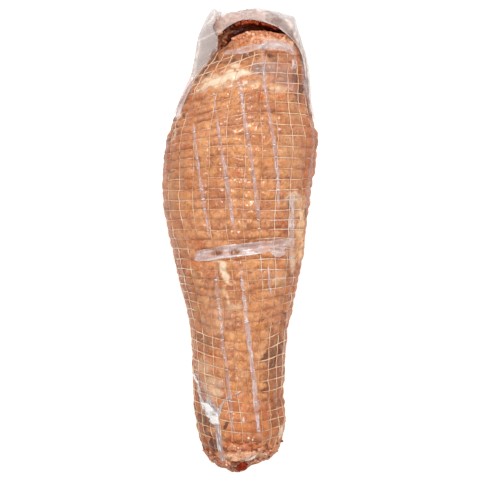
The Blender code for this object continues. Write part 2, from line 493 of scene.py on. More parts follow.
@dataclass
class RoastForm:
    """The roast's smooth outline and the lines of the net on it.

    Each station gives y, the left and right side, and the lowest and highest point.
    """

    stations: tuple[tuple[float, ...], ...] = (
        (-232.2, -4, -4, 30, 30),
        (-231.4, -8, 5, 20, 40),
        (-228.5, -16, 8, 10, 50),
        (-222, -26, 21, 2, 58),
        (-215, -34, 34, -4, 64),
        (-205, -38, 39.5, -7, 69),
        (-188, -43, 44, -8, 73),
        (-160, -46, 43.3, -9, 76),
        (-100, -48, 46.2, -9, 82),
        (-70, -53, 51.6, -9, 86),
        (-40, -60.5, 57.8, -10, 91),
        (-10, -67, 63.8, -10, 96),
        (20, -74, 67, -11, 101),
        (50, -77.5, 71, -11, 104),
        (80, -76, 75.5, -11, 105),
        (100, -73, 77.2, -11, 104),
        (120, -66, 73, -11, 101),
        (140, -58, 69, -10, 97),
        (155, -50, 68, -9, 93),
        (170, -39, 67, -8, 89),
        (185, -28, 64, -7, 85),
        (200, -23, 56.5, -5, 81),
        (212, -25, 48.5, -2, 76),
        (220, -21, 41, 4, 70),
        (225, -10, 34, 12, 62),
        (228, 1, 26, 24, 52),
        (229, 11, 11, 38, 38),
    )
    threads_round: int = 24
    row_pitch: float = 10.2
    thread_phase: float = 0.45
    thread_twist: float = -0.0032
    rings: int = 420
    columns: int = 220
    crowding: float = 0.45
    round_samples: int = 361

    def __post_init__(self) -> None:
        """Works out the distance along the skin and the grid of the smooth skin."""
        table = np.array(self.stations)
        self.y, self.left, self.right, self.low, self.top = table.T
        steps = np.hypot(np.diff(self.y), np.diff((self.right - self.left) / 2))
        self.along = running(steps)
        self.length = float(self.along[-1])
        self.distance = np.linspace(0.0, self.length, self.rings + 2)[1:-1]
        turn = np.arange(self.columns) / self.columns - 0.5
        self.share = turn - self.crowding * np.sin(2 * np.pi * turn) / (2 * np.pi)
        self.points = self.skin(self.distance, self.share)
        self.normals = self.grid_normals(self.points)

    def section(self, distance: Array) -> tuple[Array, ...]:
        """The roast's section at a distance along the skin.

        Args:
            distance: Distances along the skin from the narrow tip.

        Returns:
            y, middle x, half width, middle z and half height.
        """
        y, left, right, low, top = (
            curve_at(distance, self.along, column)
            for column in (self.y, self.left, self.right, self.low, self.top)
        )
        return y, (left + right) / 2, (right - left) / 2, (low + top) / 2, (top - low) / 2

    def distance_of(self, y: Array | float) -> Array:
        """The distance along the skin at which the roast reaches y."""
        samples = np.linspace(0.0, self.length, 2 * self.rings)
        return np.interp(y, self.section(samples)[0], samples)

    def skin(self, distance: Array, share: Array) -> Array:
        """Points of the smooth skin.

        Args:
            distance: Distances along the skin from the narrow tip.
            share: Shares of the way round, 0 on top, rising towards +X.

        Returns:
            Points in rows of distance and columns of share.
        """
        y, middle_x, half_width, middle_z, half_height = self.section(distance)
        angle = np.linspace(-np.pi, np.pi, self.round_samples)
        rows = []
        for ring_y, mx, hw, mz, hh in zip(y, middle_x, half_width, middle_z, half_height):
            speed = np.hypot(hw * np.cos(angle), hh * np.sin(angle))
            run = running((speed[1:] + speed[:-1]) / 2)
            turned = np.interp(share, run / run[-1] - 0.5, angle)
            x, z = mx + hw * np.sin(turned), mz + hh * np.cos(turned)
            rows.append(np.stack([x, np.full_like(x, ring_y), z], axis=1))
        return np.array(rows)

    @staticmethod
    def grid_normals(points: Array) -> Array:
        """Outward directions over rows of closed rings."""
        round_it = np.roll(points, -1, axis=1) - np.roll(points, 1, axis=1)
        return unit(np.cross(round_it, np.gradient(points, axis=0)))


@dataclass
class NetLines:
    """Where the net's threads run over the roast: whole rows and whole columns."""

    form: RoastForm
    grain: Grain
    wander: float = 0.30
    wander_size: float = 62.0
    row_jitter: float = 0.10
    row_jitter_size: float = 23.0
    sag: float = 0.0042
    sag_middle: float = 4.0
    sag_range: Span = (-80.0, -20.0)
    shoulder_lean: float = 0.30
    shoulder_reach: float = 15.0
    shoulder_range: Span = (60.0, 160.0)
    sideways_share: float = 0.6

    def strayed(self, shift: float, finer_shift: float) -> Array:
        """How far threads stray from even lines.

        Args:
            shift: How far off the broad noise is read.
            finer_shift: How far off the fine noise is read.

        Returns:
            The distance at each point of the grid, in meshes.
        """
        broad = self.grain.at(self.form.points, self.wander_size, shift)
        fine = self.grain.at(self.form.points, self.row_jitter_size, finer_shift)
        return self.wander * broad + self.row_jitter * fine

    def __post_init__(self) -> None:
        """Works out the row and column of each point of the roast's grid."""
        points = self.form.points
        steps = np.linalg.norm(np.diff(points, axis=0), axis=2)
        run = np.concatenate([np.zeros((1, points.shape[1])), np.cumsum(steps, axis=0)])
        middle = int(np.argmin(np.abs(points[:, 0, 1])))
        x, y = points[..., 0], points[..., 1]
        sagging = self.sag * (x - self.sag_middle) ** 2 * (1 - smooth_step(*self.sag_range, y))
        leaning = smooth_step(*self.shoulder_range, y) * self.shoulder_lean
        leaning = leaning * np.minimum(x, self.shoulder_reach)
        even = (run - run[middle] - sagging - leaning) / self.form.row_pitch
        self.row = even + self.strayed(0.0, 90.0)
        twist = self.form.thread_phase + self.form.thread_twist * y
        sideways = self.sideways_share * self.strayed(40.0, 140.0)
        self.column = self.form.threads_round * self.form.share[None, :] - twist + sideways

    def row_path(self, number: int) -> tuple[Array, Array] | None:
        """Where one cross thread runs.

        Args:
            number: The thread's row.

        Returns:
            The ring and column of each of its points on the grid, or None where it leaves the roast.
        """
        rings = np.arange(len(self.row))
        inside = (self.row.min(axis=0) < number) & (self.row.max(axis=0) > number)
        if not inside.all():
            return None
        rising = np.maximum.accumulate(self.row, axis=0)
        places = np.array([np.interp(number, rising[:, c], rings) for c in range(self.row.shape[1])])
        return places, np.arange(self.row.shape[1], dtype=float)

    def column_path(self, number: int) -> tuple[Array, Array]:
        """Where one lengthwise thread runs.

        Args:
            number: The thread's column.

        Returns:
            The ring and column of each of its points on the grid.
        """
        count = self.column.shape[1]
        turn = self.form.threads_round
        places = []
        for ring in self.column:
            wide = np.maximum.accumulate(np.concatenate([ring - turn, ring, ring + turn]))
            places.append(np.interp(number, wide, np.arange(-count, 2 * count)))
        return np.arange(len(self.column), dtype=float), np.array(places)


def read_grid(grid: Array, ring: Array, column: Array) -> Array:
    """Values of a grid between its points, the columns closed round.

    Args:
        grid: The grid, with numbers or points in it.
        ring: The places along the rows.
        column: The places along the columns.

    Returns:
        The value at each place.
    """
    rows, columns = grid.shape[:2]
    r0 = np.clip(np.floor(ring).astype(int), 0, rows - 2)
    c0 = np.floor(column).astype(int)
    tr, tc = ring - r0, column - c0
    if grid.ndim == 3:
        tr, tc = tr[:, None], tc[:, None]
    c0, c1 = c0 % columns, (c0 + 1) % columns
    near = grid[r0, c0] * (1 - tc) + grid[r0, c1] * tc
    far = grid[r0 + 1, c0] * (1 - tc) + grid[r0 + 1, c1] * tc
    return near * (1 - tr) + far * tr


@dataclass(frozen=True)
class Patch:
    """A place on the shown side: its middle and half sizes in the picture, strength and slant."""

    FULL_TO = 0.55
    GONE_AT = 1.25

    x: float
    y: float
    half_length: float
    half_width: float
    strength: float = 1.0
    slant: float = 0.0

    def cover(self, px: Array, py: Array, ragged: Array | float) -> Array:
        """How strongly the patch covers places in the picture.

        Args:
            px: The places across the picture.
            py: The places down the picture.
            ragged: How far in or out its edge lies, as a share of its size.

        Returns:
            Values from 0 to the patch's strength.
        """
        turn = np.radians(self.slant)
        along = (px - self.x) * np.cos(turn) - (py - self.y) * np.sin(turn)
        across = (px - self.x) * np.sin(turn) + (py - self.y) * np.cos(turn)
        reach = np.hypot(along / self.half_length, across / self.half_width) + ragged
        return self.strength * (1 - smooth_step(self.FULL_TO, self.GONE_AT, reach))


def patches(*rows: tuple[float, ...]) -> tuple[Patch, ...]:
    """Patches from the rows of their numbers."""
    return tuple(Patch(*row) for row in rows)


def strongest(places: tuple[Patch, ...], px: Array, py: Array, ragged: Array | float = 0.0) -> Array:
    """How strongly the strongest of some patches covers each place."""
    return np.max([patch.cover(px, py, ragged) for patch in places], axis=0)


# Gaps where the film stands off the meat: painted shade, laid on the meat among the dark patches and
# thinning the film over them.
GAPS = patches(
    (248, 141, 1.6, 2.5, 0.7), (252.8, 172, 1.5, 4, 0.5), (219.8, 139.5, 1.6, 3.5, 0.5),
    (228.5, 199, 1.6, 6, 0.45, 8), (216.5, 253.3, 8, 2.5, 1.15, 4), (235.5, 252.4, 8, 2.7, 1.15, 4),
    (226.5, 371, 1.6, 5, 0.5, 8), (203.5, 392, 1.6, 5, 0.8, 14),
)
STAINS = {
    Stain.FAT: patches(
        (238, 74, 13, 5.5, 1.5, 8), (217, 81, 12, 4.5, 1.4, 20), (236, 66, 6, 3, 0.9),
        (222, 79, 27, 9, 0.38, 18), (203, 88, 8, 2.8, 1, 28), (230, 85, 14, 4, 0.4, 8),
        (250, 84, 12, 3, 0.45, 5), (280, 90, 9, 4, 0.5), (222.3, 266, 3.4, 6, 1.25, 5),
        (226, 277.5, 3, 8, 1.25, 35), (217.5, 260.9, 4.5, 1.5, 0.9, 3), (230, 284.5, 3, 2, 0.7),
        (222.6, 271.3, 3, 3.6, 1.2, 20), (279, 278.5, 7, 1.8, 0.7, 12), (178.5, 115.5, 2.6, 3, 0.9, -20),
        (175.3, 133, 1, 5, 0.7, -5), (171.5, 140.5, 1, 4, 0.7, -45), (218, 312, 14, 26, 0.15),
        (223.5, 290, 2.4, 3.5, 0.55), (228, 300, 1.2, 6, 0.6, 12), (231, 307.5, 10, 2.6, 0.5, 2),
        (294, 196, 8, 5, 0.6), (293, 262, 3, 10, 0.7, -5), (281, 433, 2.4, 6, 1.2, -10),
        (213, 388, 10, 14, 0.42), (203, 366, 8, 8, 0.38), (218, 392, 5, 4, 0.7), (268, 40, 24, 6, 0.35),
        (280, 47, 16, 3.5, 0.6), (240, 456, 14, 4, 0.6), (262, 453, 8, 4, 0.5, 10), (221, 441, 4, 6, 0.3),
    ),
    Stain.PALE: patches(
        (294, 204, 8, 12, 0.7), (291.5, 236, 4, 34, 0.75, -2), (172, 190, 5, 30, 0.45, 2),
        (178, 240, 5, 24, 0.35, 4), (196, 300, 7, 30, 0.5, 4), (296, 116, 6, 14, 0.5),
        (200, 375, 12, 16, 0.3), (279, 282, 8, 4, 0.55, 15), (205, 160, 10, 26, 0.2),
        (291, 150, 13, 34, 0.34),
    ),
    Stain.GOLD: patches(
        (301, 226, 4, 24, 1.15, -4), (299.5, 252, 3.6, 12, 1.1, -8), (298, 205, 3, 5, 0.5),
        (205, 81, 4, 2.5, 0.6, 30), (279.5, 95.2, 3.4, 2, 0.45), (215, 76, 5, 2, 0.7, 40),
        (281.5, 79.4, 4, 1.6, 0.5), (272, 86, 9, 2.4, 0.7, -3), (241, 67, 10, 2.4, 0.5, 5),
        (192.5, 83, 3, 1.6, 0.5, 30),
    ),
    # Dark patches: partly the meat's own dark spots and partly painted shade, in the gaps, on the shaded
    # left wall of the thick end and along the sides.
    Stain.DARK: GAPS + patches(
        (290.3, 211, 1.1, 3, 1), (296.3, 197.5, 1.6, 2.2, 0.9), (297, 208.5, 1.6, 2.6, 0.6),
        (305.3, 216.5, 1.4, 2.8, 0.9), (305, 227.5, 1.4, 3, 0.9), (297, 265, 1.8, 4.5, 0.6),
        (285.5, 270, 1.5, 1.5, 0.8), (249.7, 273, 2.8, 0.9, 1.2), (252, 283.6, 4, 0.7, 0.8, -3),
        (251, 293.5, 4.5, 0.8, 0.6), (194.5, 298, 3, 6, 0.7), (192, 289, 3, 8, 0.5),
        (187, 99, 1.8, 2.6, 1.2), (193.3, 83.5, 2.6, 1.8, 1.1, 30), (190, 92, 2.2, 1.2, 1, 20),
        (181, 107, 1.1, 2.2, 1), (183, 116, 1.3, 2.2, 0.9), (173.2, 130.5, 3, 5.5, 1.5, -25),
        (169.2, 139.5, 3, 5, 1.6, -30), (172, 147, 3, 2, 0.7), (282.5, 221.3, 4.5, 2.2, 0.35),
        (218.5, 62, 5.5, 3.4, 1.4, 15), (210.5, 66, 5, 3.4, 1.4, 25), (205, 74, 4, 3.4, 1.3, 30),
        (227, 62.4, 4.5, 2.6, 1.2, 10), (233.5, 61.5, 5, 3, 1.3, 5), (244.5, 58.3, 6.5, 2.6, 1.3, 8),
        (198, 80, 3.6, 3, 1.2, 40), (289, 205, 3, 6, 0.5), (240, 58, 36, 5, 0.72, 8),
        (284, 57, 18, 4, 0.65), (257, 69, 9, 7, 0.75), (206, 66, 20, 5, 0.95, 40),
        (189, 86, 14, 4, 0.8, 52), (276, 70, 21, 8, 0.45), (288, 80, 15, 8, 0.45, 10),
        (268, 54, 7, 4, 0.95), (248, 57, 6, 4, 0.85), (299, 82, 6.5, 24, 1.15), (301.5, 60, 3, 4, 2.2),
        (298, 98, 5, 8, 0.6), (173, 122, 4, 18, 0.8, 20), (166, 150, 4, 18, 0.6), (314, 140, 5, 34, 0.5),
        (306, 200, 3, 40, 0.35, -4), (291, 290, 5, 40, 0.5, 8), (287, 342, 4, 28, 0.9, 4),
        (285.5, 385, 3.5, 36, 0.8), (190, 320, 5, 30, 0.3, 6), (195, 378, 5, 26, 0.45),
        (286, 230, 4.5, 4.4, 0.8), (198, 300, 6, 30, 0.25, 8), (205, 342, 12, 16, 0.55),
        (202, 425, 9, 30, 0.85, 6), (213.6, 446, 5, 9, 2.6, 12), (207, 400, 5, 14, 0.3),
        (276, 364, 13, 44, 0.78), (277, 412, 9, 26, 0.5), (284, 300, 7, 30, 0.35),
        (259, 457.8, 14, 1.3, 1.1, 17), (240, 442, 5, 2.5, 0.8), (258, 440, 4, 4, 0.8),
        (226, 425.5, 1.6, 6, 1, -25), (228, 440, 4, 4, 0.5), (276, 446, 6, 5, 0.6),
        (281, 415, 2, 10, 0.6), (272, 425, 4, 3, 0.5), (268, 436, 3, 5, 0.5), (270, 441, 4, 2, 0.8, 20),
        (228, 449, 3, 3, 0.7), (249, 226, 4, 3, 0.5), (238, 196, 6, 5, 0.35), (223, 42, 6, 10, 1, 30),
        (180, 175, 8, 40, 0.25),
    ),
    Stain.RUST: patches(
        (286, 230, 5, 4.6, 0.9), (282.5, 221.3, 5, 2.6, 0.8), (305.3, 222, 1.6, 10, 0.7),
        (281, 267.5, 5, 4.5, 0.7), (279.5, 258.5, 4, 2.2, 0.7), (188.5, 98, 3, 3.2, 1),
        (193, 293, 4, 12, 0.5), (212, 76, 9, 2.5, 0.7, 30), (274, 400, 10, 36, 0.5),
        (278, 360, 10, 40, 0.3), (245, 420, 28, 30, 0.48), (184, 150, 18, 50, 0.16, 6),
        (279.5, 95.2, 5, 2.8, 1.2, -10), (261, 96.6, 2.4, 2.8, 1.2), (288, 84, 7, 4, 0.7),
        (238, 172, 3, 3, 1), (237, 188, 3, 3, 0.7), (200, 243, 5, 4, 0.6), (298, 188, 2, 2, 0.9),
        (196, 262, 14, 5, 0.5), (213, 273, 9, 4, 0.4), (252, 371, 4, 3, 0.7), (263, 412, 8, 7, 0.7),
        (246, 404, 10, 8, 0.35), (230, 445, 9, 8, 0.9), (252, 447, 14, 6, 0.9), (272, 450, 8, 6, 0.8),
        (234, 424, 5, 4, 0.6), (212, 357, 6, 5, 0.7), (205, 364, 4, 3, 0.6), (200, 84, 8, 3, 0.6, 20),
        (213, 436, 5, 3, 0.8), (237, 36, 6, 5, 0.8, 30), (278, 51, 22, 2, 0.8, -4),
        (240, 66, 9, 2.5, 0.7, 8), (285, 80, 18, 6, 0.5, 10), (255, 34, 14, 3, 0.6),
        (276, 34, 12, 2.5, 0.7, -5), (183, 96, 4, 4, 0.7), (170, 240, 6, 14, 0.3),
    ),
}
UNSEEN_STAINS = {
    Stain.FAT: Spots(26.0, 0.32, 0.6, shift=200.0),
    Stain.DARK: Spots(22.0, 0.30, 0.7, shift=300.0),
    Stain.RUST: Spots(14.0, 0.40, 0.7, shift=400.0),
    Stain.PALE: Spots(30.0, 0.25, 0.6, shift=500.0),
    Stain.GOLD: Spots(18.0, 0.40, 0.7, shift=600.0),
}


@dataclass
class Meat:
    """The roast's flesh, bulging through the meshes of the net."""

    form: RoastForm
    lines: NetLines
    grain: Grain
    bulge: float = 1.1
    sink: float = 1.1
    row_sharpness: float = 2.4
    column_sharpness: float = 3.0
    column_depth: float = 0.92
    puff_spread: float = 0.35
    uneven: Varied = Varied(1.0, 0.75, 15.0, 0.25, 1.5, layers=2, shift=110.0)
    loose: tuple[Patch, ...] = patches((247, 340, 22, 92, 0.68, 2), (240, 200, 40, 60, 0.15))
    tight_most: float = 0.9
    tight_spread: float = 0.15
    tight_size: float = 30.0
    tight_range: Span = (0.15, 1.0)
    side_ease: float = 0.45
    side_slopes: Span = (0.75, 0.25)
    net_ends_at: float = 192.0
    net_fade: float = 8.0
    gash_depth: float = 0.55
    gash_size: float = 8.0
    gash_width: float = 0.13
    gash_places: Spots = Spots(19.0, -0.35, 0.25, layers=1, shift=260.0)
    # Painted shade on the side of each bulge that turns from the lamp: how far it reaches into a mesh and
    # how it varies from mesh to mesh.
    under_reach: Span = (0.46, 0.04)
    under_middle: float = 0.50
    under_spread: float = 0.55
    under_spots: Varied = Varied(0.70, 0.9, 9.0, 0.15, 1.0, layers=1, shift=310.0)
    lump_depth: float = 0.72
    lump_size: float = 8.0
    rough_end_depth: float = 2.4
    fibre_depth: float = 0.34
    fibre_size: Size = (1.4, 2.6, 1.6)
    cross_fibre_depth: float = 0.17
    cross_fibre_size: Size = (2.8, 1.2, 1.5)
    crease_depth: float = 3.5
    crease_y: float = -10.0
    crease_slope: float = 0.147
    crease_width: float = 6.0
    crease_left: Span = (-50.0, -40.0)
    crease_right: Span = (42.0, 52.0)
    lump_lowest_slope: float = -0.2
    narrow_calm: float = 9.0
    thick_calm: float = 7.0
    stain_raggedness: float = 0.42
    stain_edge_size: float = 5.0
    shown_slopes: Span = (-0.15, 0.15)
    unseen_share: float = 0.8
    rim_slopes: Span = (0.94, 0.38)
    rim: Varied = Varied(0.8, 0.5, 11.0, layers=1, shift=90.0)
    rim_darkness: float = 0.47
    rim_redness: float = 0.52
    rim_mark_slopes: Span = (0.85, 0.45)
    end_lumps: tuple[tuple[float, float, float, float], ...] = (
        (-4, -230, 6, 1.5),
        (-6, -216, 7, 2.5),
        (9, -212, 6, 2),
        (24, -214, 7, 1.5),
        (78, 99, 6, 1.6),
        (44, -176, 11, 2.2),
        (2, -204, 6, 2),
        (20, -203, 6, 2),
        (-22, -219, 7, 2),
    )
    hollow_far: Line = (
        (-23, 206), (-15, 212.5), (-4, 218.5), (10, 221), (22, 219.5), (35, 213.5),
        (48, 204.5),
    )
    hollow_near: Line = (
        (38.4, 205), (30.4, 206.3), (21, 207.3), (12, 207.3), (7, 206), (1.6, 203.9),
        (-4, 202.6), (-6.8, 199.9), (-9.9, 196.3), (-13.9, 192.6), (-22, 188),
    )
    hollow_open: Line = ((-42, 187), (-42, 204))
    hollow_floor: float = 26.0
    hollow_tip: float = 1.0
    hollow_wall: float = 52.0
    hollow_top: float = 120.0
    hollow_floor_scale: float = 0.72
    hollow_round: int = 161
    hollow_floor_levels: int = 9
    hollow_wall_levels: int = 16
    torn_depth: float = 1.1
    torn_size: float = 6.0
    torn_fade: Span = (80.0, 100.0)
    settle: float = 1.5

    def tightness(self) -> tuple[Array, Array]:
        """How hard the net squeezes.

        Returns:
            For each point of the grid a value from 0 to 1, and another for how far the net
            reaches over it.
        """
        points = self.form.points
        off = strongest(self.loose, *to_picture(points)) * (points[..., 2] > OUTLINE_HEIGHT)
        uneven = self.tight_spread * self.grain.at(points, self.tight_size)
        low, high = self.net_ends_at - self.net_fade, self.net_ends_at + self.net_fade
        netted = 1 - smooth_step(low, high, points[..., 1])
        eased = 1 - self.side_ease * smooth_step(*self.side_slopes, self.form.normals[..., 2])
        return np.clip(self.tight_most - off + uneven, *self.tight_range) * netted * eased, netted

    def swell(self) -> Array:
        """How far the flesh fills the meshes.

        Returns:
            0 at a cross thread and 1 in the middle of a mesh, for each point of the grid.
        """
        row, column = (2 * (line - np.floor(line)) - 1 for line in (self.lines.row, self.lines.column))
        over_row = 1 - np.abs(row) ** self.row_sharpness
        over_column = 1 - np.abs(column) ** self.column_sharpness
        return over_row * (1 - self.column_depth * (1 - over_column))

    def gashes(self) -> Array:
        """How deep the small splits in the flesh are, from 0 to 1 at each point of the grid."""
        vein = np.abs(self.grain.layered(self.form.points, self.gash_size, 2, shift=210.0))
        return smooth_step(self.gash_width, 0.0, vein) * self.gash_places.on(self.grain, self.form.points)

    def painted_shade_under(self, tight: Array) -> Array:
        """How strongly painted shade darkens the flesh just past each cross thread, on the side of each
        bulge that turns from the lamp.

        Args:
            tight: How hard the net squeezes at each point.

        Returns:
            A value from 0 to 1 at each point of the grid.
        """
        row, column = self.lines.row, self.lines.column
        cells = self.under_middle + self.under_spread * self.grain.cell(row, column, shift=(3, 17))
        under = smooth_step(*self.under_reach, row - np.floor(row)) * tight
        return under * np.clip(cells, 0.0, 1.0) * self.under_spots.over(self.grain, self.form.points)

    def crease(self) -> Array:
        """How deep the crease below the middle is.

        Returns:
            The depth at each point of the grid.
        """
        x, y = self.form.points[..., 0], self.form.points[..., 1]
        off = (y - self.crease_y - self.crease_slope * x) / self.crease_width
        sides = smooth_step(*self.crease_left, x) * (1 - smooth_step(*self.crease_right, x))
        return self.crease_depth * np.exp(-off * off) * sides * (self.form.normals[..., 2] > 0)

    def lumps(self) -> Array:
        """How far the large lumps stand out.

        Returns:
            The height at each point of the grid.
        """
        x, y = self.form.points[..., 0], self.form.points[..., 1]
        highest = np.zeros_like(x)
        for lump_x, lump_y, radius, height in self.end_lumps:
            reach = ((x - lump_x) ** 2 + (y - lump_y) ** 2) / radius**2
            highest = np.maximum(highest, height * np.exp(-reach))
        return highest * (self.form.normals[..., 2] > self.lump_lowest_slope)

    def heights(self) -> tuple[Array, dict[str, Array]]:
        """How far the flesh stands out of the smooth skin.

        Returns:
            The height at each point of the grid, and the marks that the flesh's colour needs.
        """
        points, grain = self.form.points, self.grain
        row, column = self.lines.row, self.lines.column
        tight, netted = self.tightness()
        swell, gash = self.swell(), self.gashes()
        puff = 1.0 + self.puff_spread * grain.cell(row, column, shift=(11, 5))
        uneven = self.uneven.over(grain, points)
        out = tight * ((self.bulge + self.sink * uneven) * swell * puff - self.sink * uneven)
        out -= self.gash_depth * gash
        rough = 1.0 + self.rough_end_depth * (1 - netted)
        out += self.lump_depth * rough * grain.layered(points, self.lump_size, 2)
        out += self.fibre_depth * rough * grain.at(points, self.fibre_size, shift=31.0)
        out += self.cross_fibre_depth * grain.at(points, self.cross_fibre_size, shift=57.0)
        out -= self.crease()
        out += self.lumps()
        calm = smooth_step(0.0, self.narrow_calm, self.form.distance)
        calm *= smooth_step(0.0, self.thick_calm, self.form.length - self.form.distance)
        marks = {"swell": swell, "tone": grain.cell(row, column), "gash": gash}
        marks["under"] = self.painted_shade_under(tight)
        marks["rim"] = smooth_step(*self.rim_mark_slopes, self.form.normals[..., 2])
        return out * calm[:, None], marks

    def lie_flat(self, points: Array) -> Array:
        """Presses what would be under the floor flat against it.

        Args:
            points: The flesh's points, which are changed.

        Returns:
            The same points.
        """
        z = points[..., 2]
        bend = (z + self.settle) ** 2 / (4 * self.settle)
        points[..., 2] = np.where(z <= -self.settle, 0.0, np.where(z >= self.settle, z, bend))
        return points

    def stains(self) -> dict[str, Array]:
        """How strongly each stain shows, the dark one partly as painted shade.

        Returns:
            For each stain's name, its strength at each point of the flesh.
        """
        points, slope = self.skin, self.form.normals[..., 2]
        px, py = to_picture(points)
        ragged = self.stain_raggedness * self.grain.layered(points, self.stain_edge_size, shift=13.0)
        shown = smooth_step(*self.shown_slopes, slope)
        rim = smooth_step(*self.rim_slopes, slope) * self.rim.over(self.grain, points)
        # The sides are painted darker, partly the crust's own colour and partly painted shade where the
        # surface turns from the light, and redder.
        on_rim = {Stain.DARK: self.rim_darkness, Stain.RUST: self.rim_redness}
        found = {}
        for stain, places in STAINS.items():
            seen = np.maximum(strongest(places, px, py, ragged), on_rim.get(stain, 0.0) * rim)
            unseen = self.unseen_share * UNSEEN_STAINS[stain].on(self.grain, points)
            found[stain.value] = seen * shown + unseen * (1 - shown)
        return found

    def hollow_cutter(self, inside: Material) -> Piece:
        """The space behind the flap, with torn walls.

        Args:
            inside: The material of the walls.

        Returns:
            The closed shape to cut out.
        """
        plan = np.array(self.hollow_far + self.hollow_near + self.hollow_open)
        middle = plan.mean(axis=0)
        ring = resample(np.concatenate([plan, plan[:1]]), self.hollow_round)[:-1]
        turns = (self.hollow_floor, self.hollow_wall, self.hollow_top)
        levels = np.concatenate([
            np.linspace(self.hollow_floor, self.hollow_wall, self.hollow_floor_levels),
            np.linspace(self.hollow_wall, self.hollow_top, self.hollow_wall_levels)[1:],
        ])
        scale = np.interp(levels, turns, (self.hollow_floor_scale, 1.0, 1.0))
        flat = middle + (ring[None] - middle) * scale[:, None, None]
        single = flat.shape[:2] + (1,)
        points = np.concatenate([flat, np.broadcast_to(levels[:, None, None], single)], axis=2)
        outward = unit(np.concatenate([flat - middle, np.zeros(single)], axis=2))
        torn = self.torn_depth * self.grain.layered(points, self.torn_size, shift=70.0)
        torn = torn * (1 - smooth_step(*self.torn_fade, points[..., 2]))
        points = points + outward * torn[..., None]
        tips = [(*middle, self.hollow_floor - self.hollow_tip), (*middle, self.hollow_top)]
        everything = np.concatenate([points.reshape(-1, 3), tips])
        cutter = new_mesh("hollow_cutter", everything, capped_faces(*points.shape[:2]), inside)
        shaped = bmesh.new()
        shaped.from_mesh(cutter.data)
        bmesh.ops.recalc_face_normals(shaped, faces=shaped.faces)
        shaped.to_mesh(cutter.data)
        shaped.free()
        return cutter

    def build(self, outside: Material, inside: Material) -> Piece:
        """Makes the flesh with its hollow.

        Args:
            outside: The material of the skin.
            inside: The material of the hollow's walls.

        Returns:
            The piece.
        """
        out, marks = self.heights()
        self.skin = self.lie_flat(self.form.points + self.form.normals * out[..., None])
        marks |= self.stains()
        ends = (self.form.stations[0], self.form.stations[-1])
        tips = [((left + right) / 2, y, (low + top) / 2) for y, left, right, low, top in ends]
        points = np.concatenate([self.skin.reshape(-1, 3), tips])
        marks = {name: np.concatenate([amount.ravel(), [0.0, 0.0]]) for name, amount in marks.items()}
        piece = new_mesh("roast_meat", points, capped_faces(*out.shape), outside, marks)
        self.cut(piece, self.hollow_cutter(inside))
        return piece

    @staticmethod
    def cut(piece: Piece, cutter: Piece) -> None:
        """Cuts one shape out of a piece and removes the cutter.

        Args:
            piece: The piece to cut.
            cutter: The shape to cut out.
        """
        hollow = piece.modifiers.new("hollow", "BOOLEAN")
        hollow.operation = "DIFFERENCE"
        hollow.solver = "MANIFOLD"
        hollow.material_mode = "TRANSFER"
        hollow.object = cutter
        graph = bpy.context.evaluated_depsgraph_get()
        mesh = bpy.data.meshes.new_from_object(piece.evaluated_get(graph), depsgraph=graph)
        piece.modifiers.clear()
        piece.data = mesh
        bpy.data.objects.remove(cutter)


@dataclass
class Surface:
    """The dressed roast's upper surface, found by looking straight down on it."""

    piece: Piece

    def __post_init__(self) -> None:
        """Builds the search tree, in millimetres."""
        mesh = self.piece.data
        points = np.empty(3 * len(mesh.vertices))
        mesh.vertices.foreach_get("co", points)
        corners = [tuple(polygon.vertices) for polygon in mesh.polygons]
        self.tree = BVHTree.FromPolygons((points.reshape(-1, 3) / MM).tolist(), corners)
        self.eye = Vector((0.0, 0.0, CAMERA_HEIGHT))

    def height(self, px: Array, py: Array) -> Array:
        """The height of what shows at places in the picture.

        Args:
            px: The places across the picture.
            py: The places down the picture.

        Returns:
            The heights, with nan beside the roast.
        """
        px, py = np.asarray(px, dtype=float), np.asarray(py, dtype=float)
        found = np.full(px.shape, np.nan)
        for index in np.ndindex(px.shape):
            across, along = px[index] - PICTURE_MIDDLE, PICTURE_MIDDLE - py[index]
            target = Vector((across, along, OUTLINE_HEIGHT))
            hit = self.tree.ray_cast(self.eye, (target - self.eye).normalized())[0]
            if hit is not None:
                found[index] = hit.z
        return found


@dataclass
class Spot:
    """Finds the grid place of the upper skin under a place in the picture."""

    meat: Meat
    least_slope: float = 0.05

    def __post_init__(self) -> None:
        """Builds the search tree over the upper skin."""
        px, py = to_picture(self.meat.skin)
        rings, columns = np.nonzero(self.meat.form.normals[..., 2] > self.least_slope)
        self.places = np.stack([rings, columns], axis=1)
        self.tree = KDTree(len(rings))
        for index, (ring, column) in enumerate(self.places):
            self.tree.insert((px[ring, column], py[ring, column], 0.0), index)
        self.tree.balance()

    def nearest(self, px: float, py: float) -> tuple[int, int]:
        """The ring and column nearest to a place in the picture."""
        return tuple(self.places[self.tree.find((px, py, 0.0))[1]])


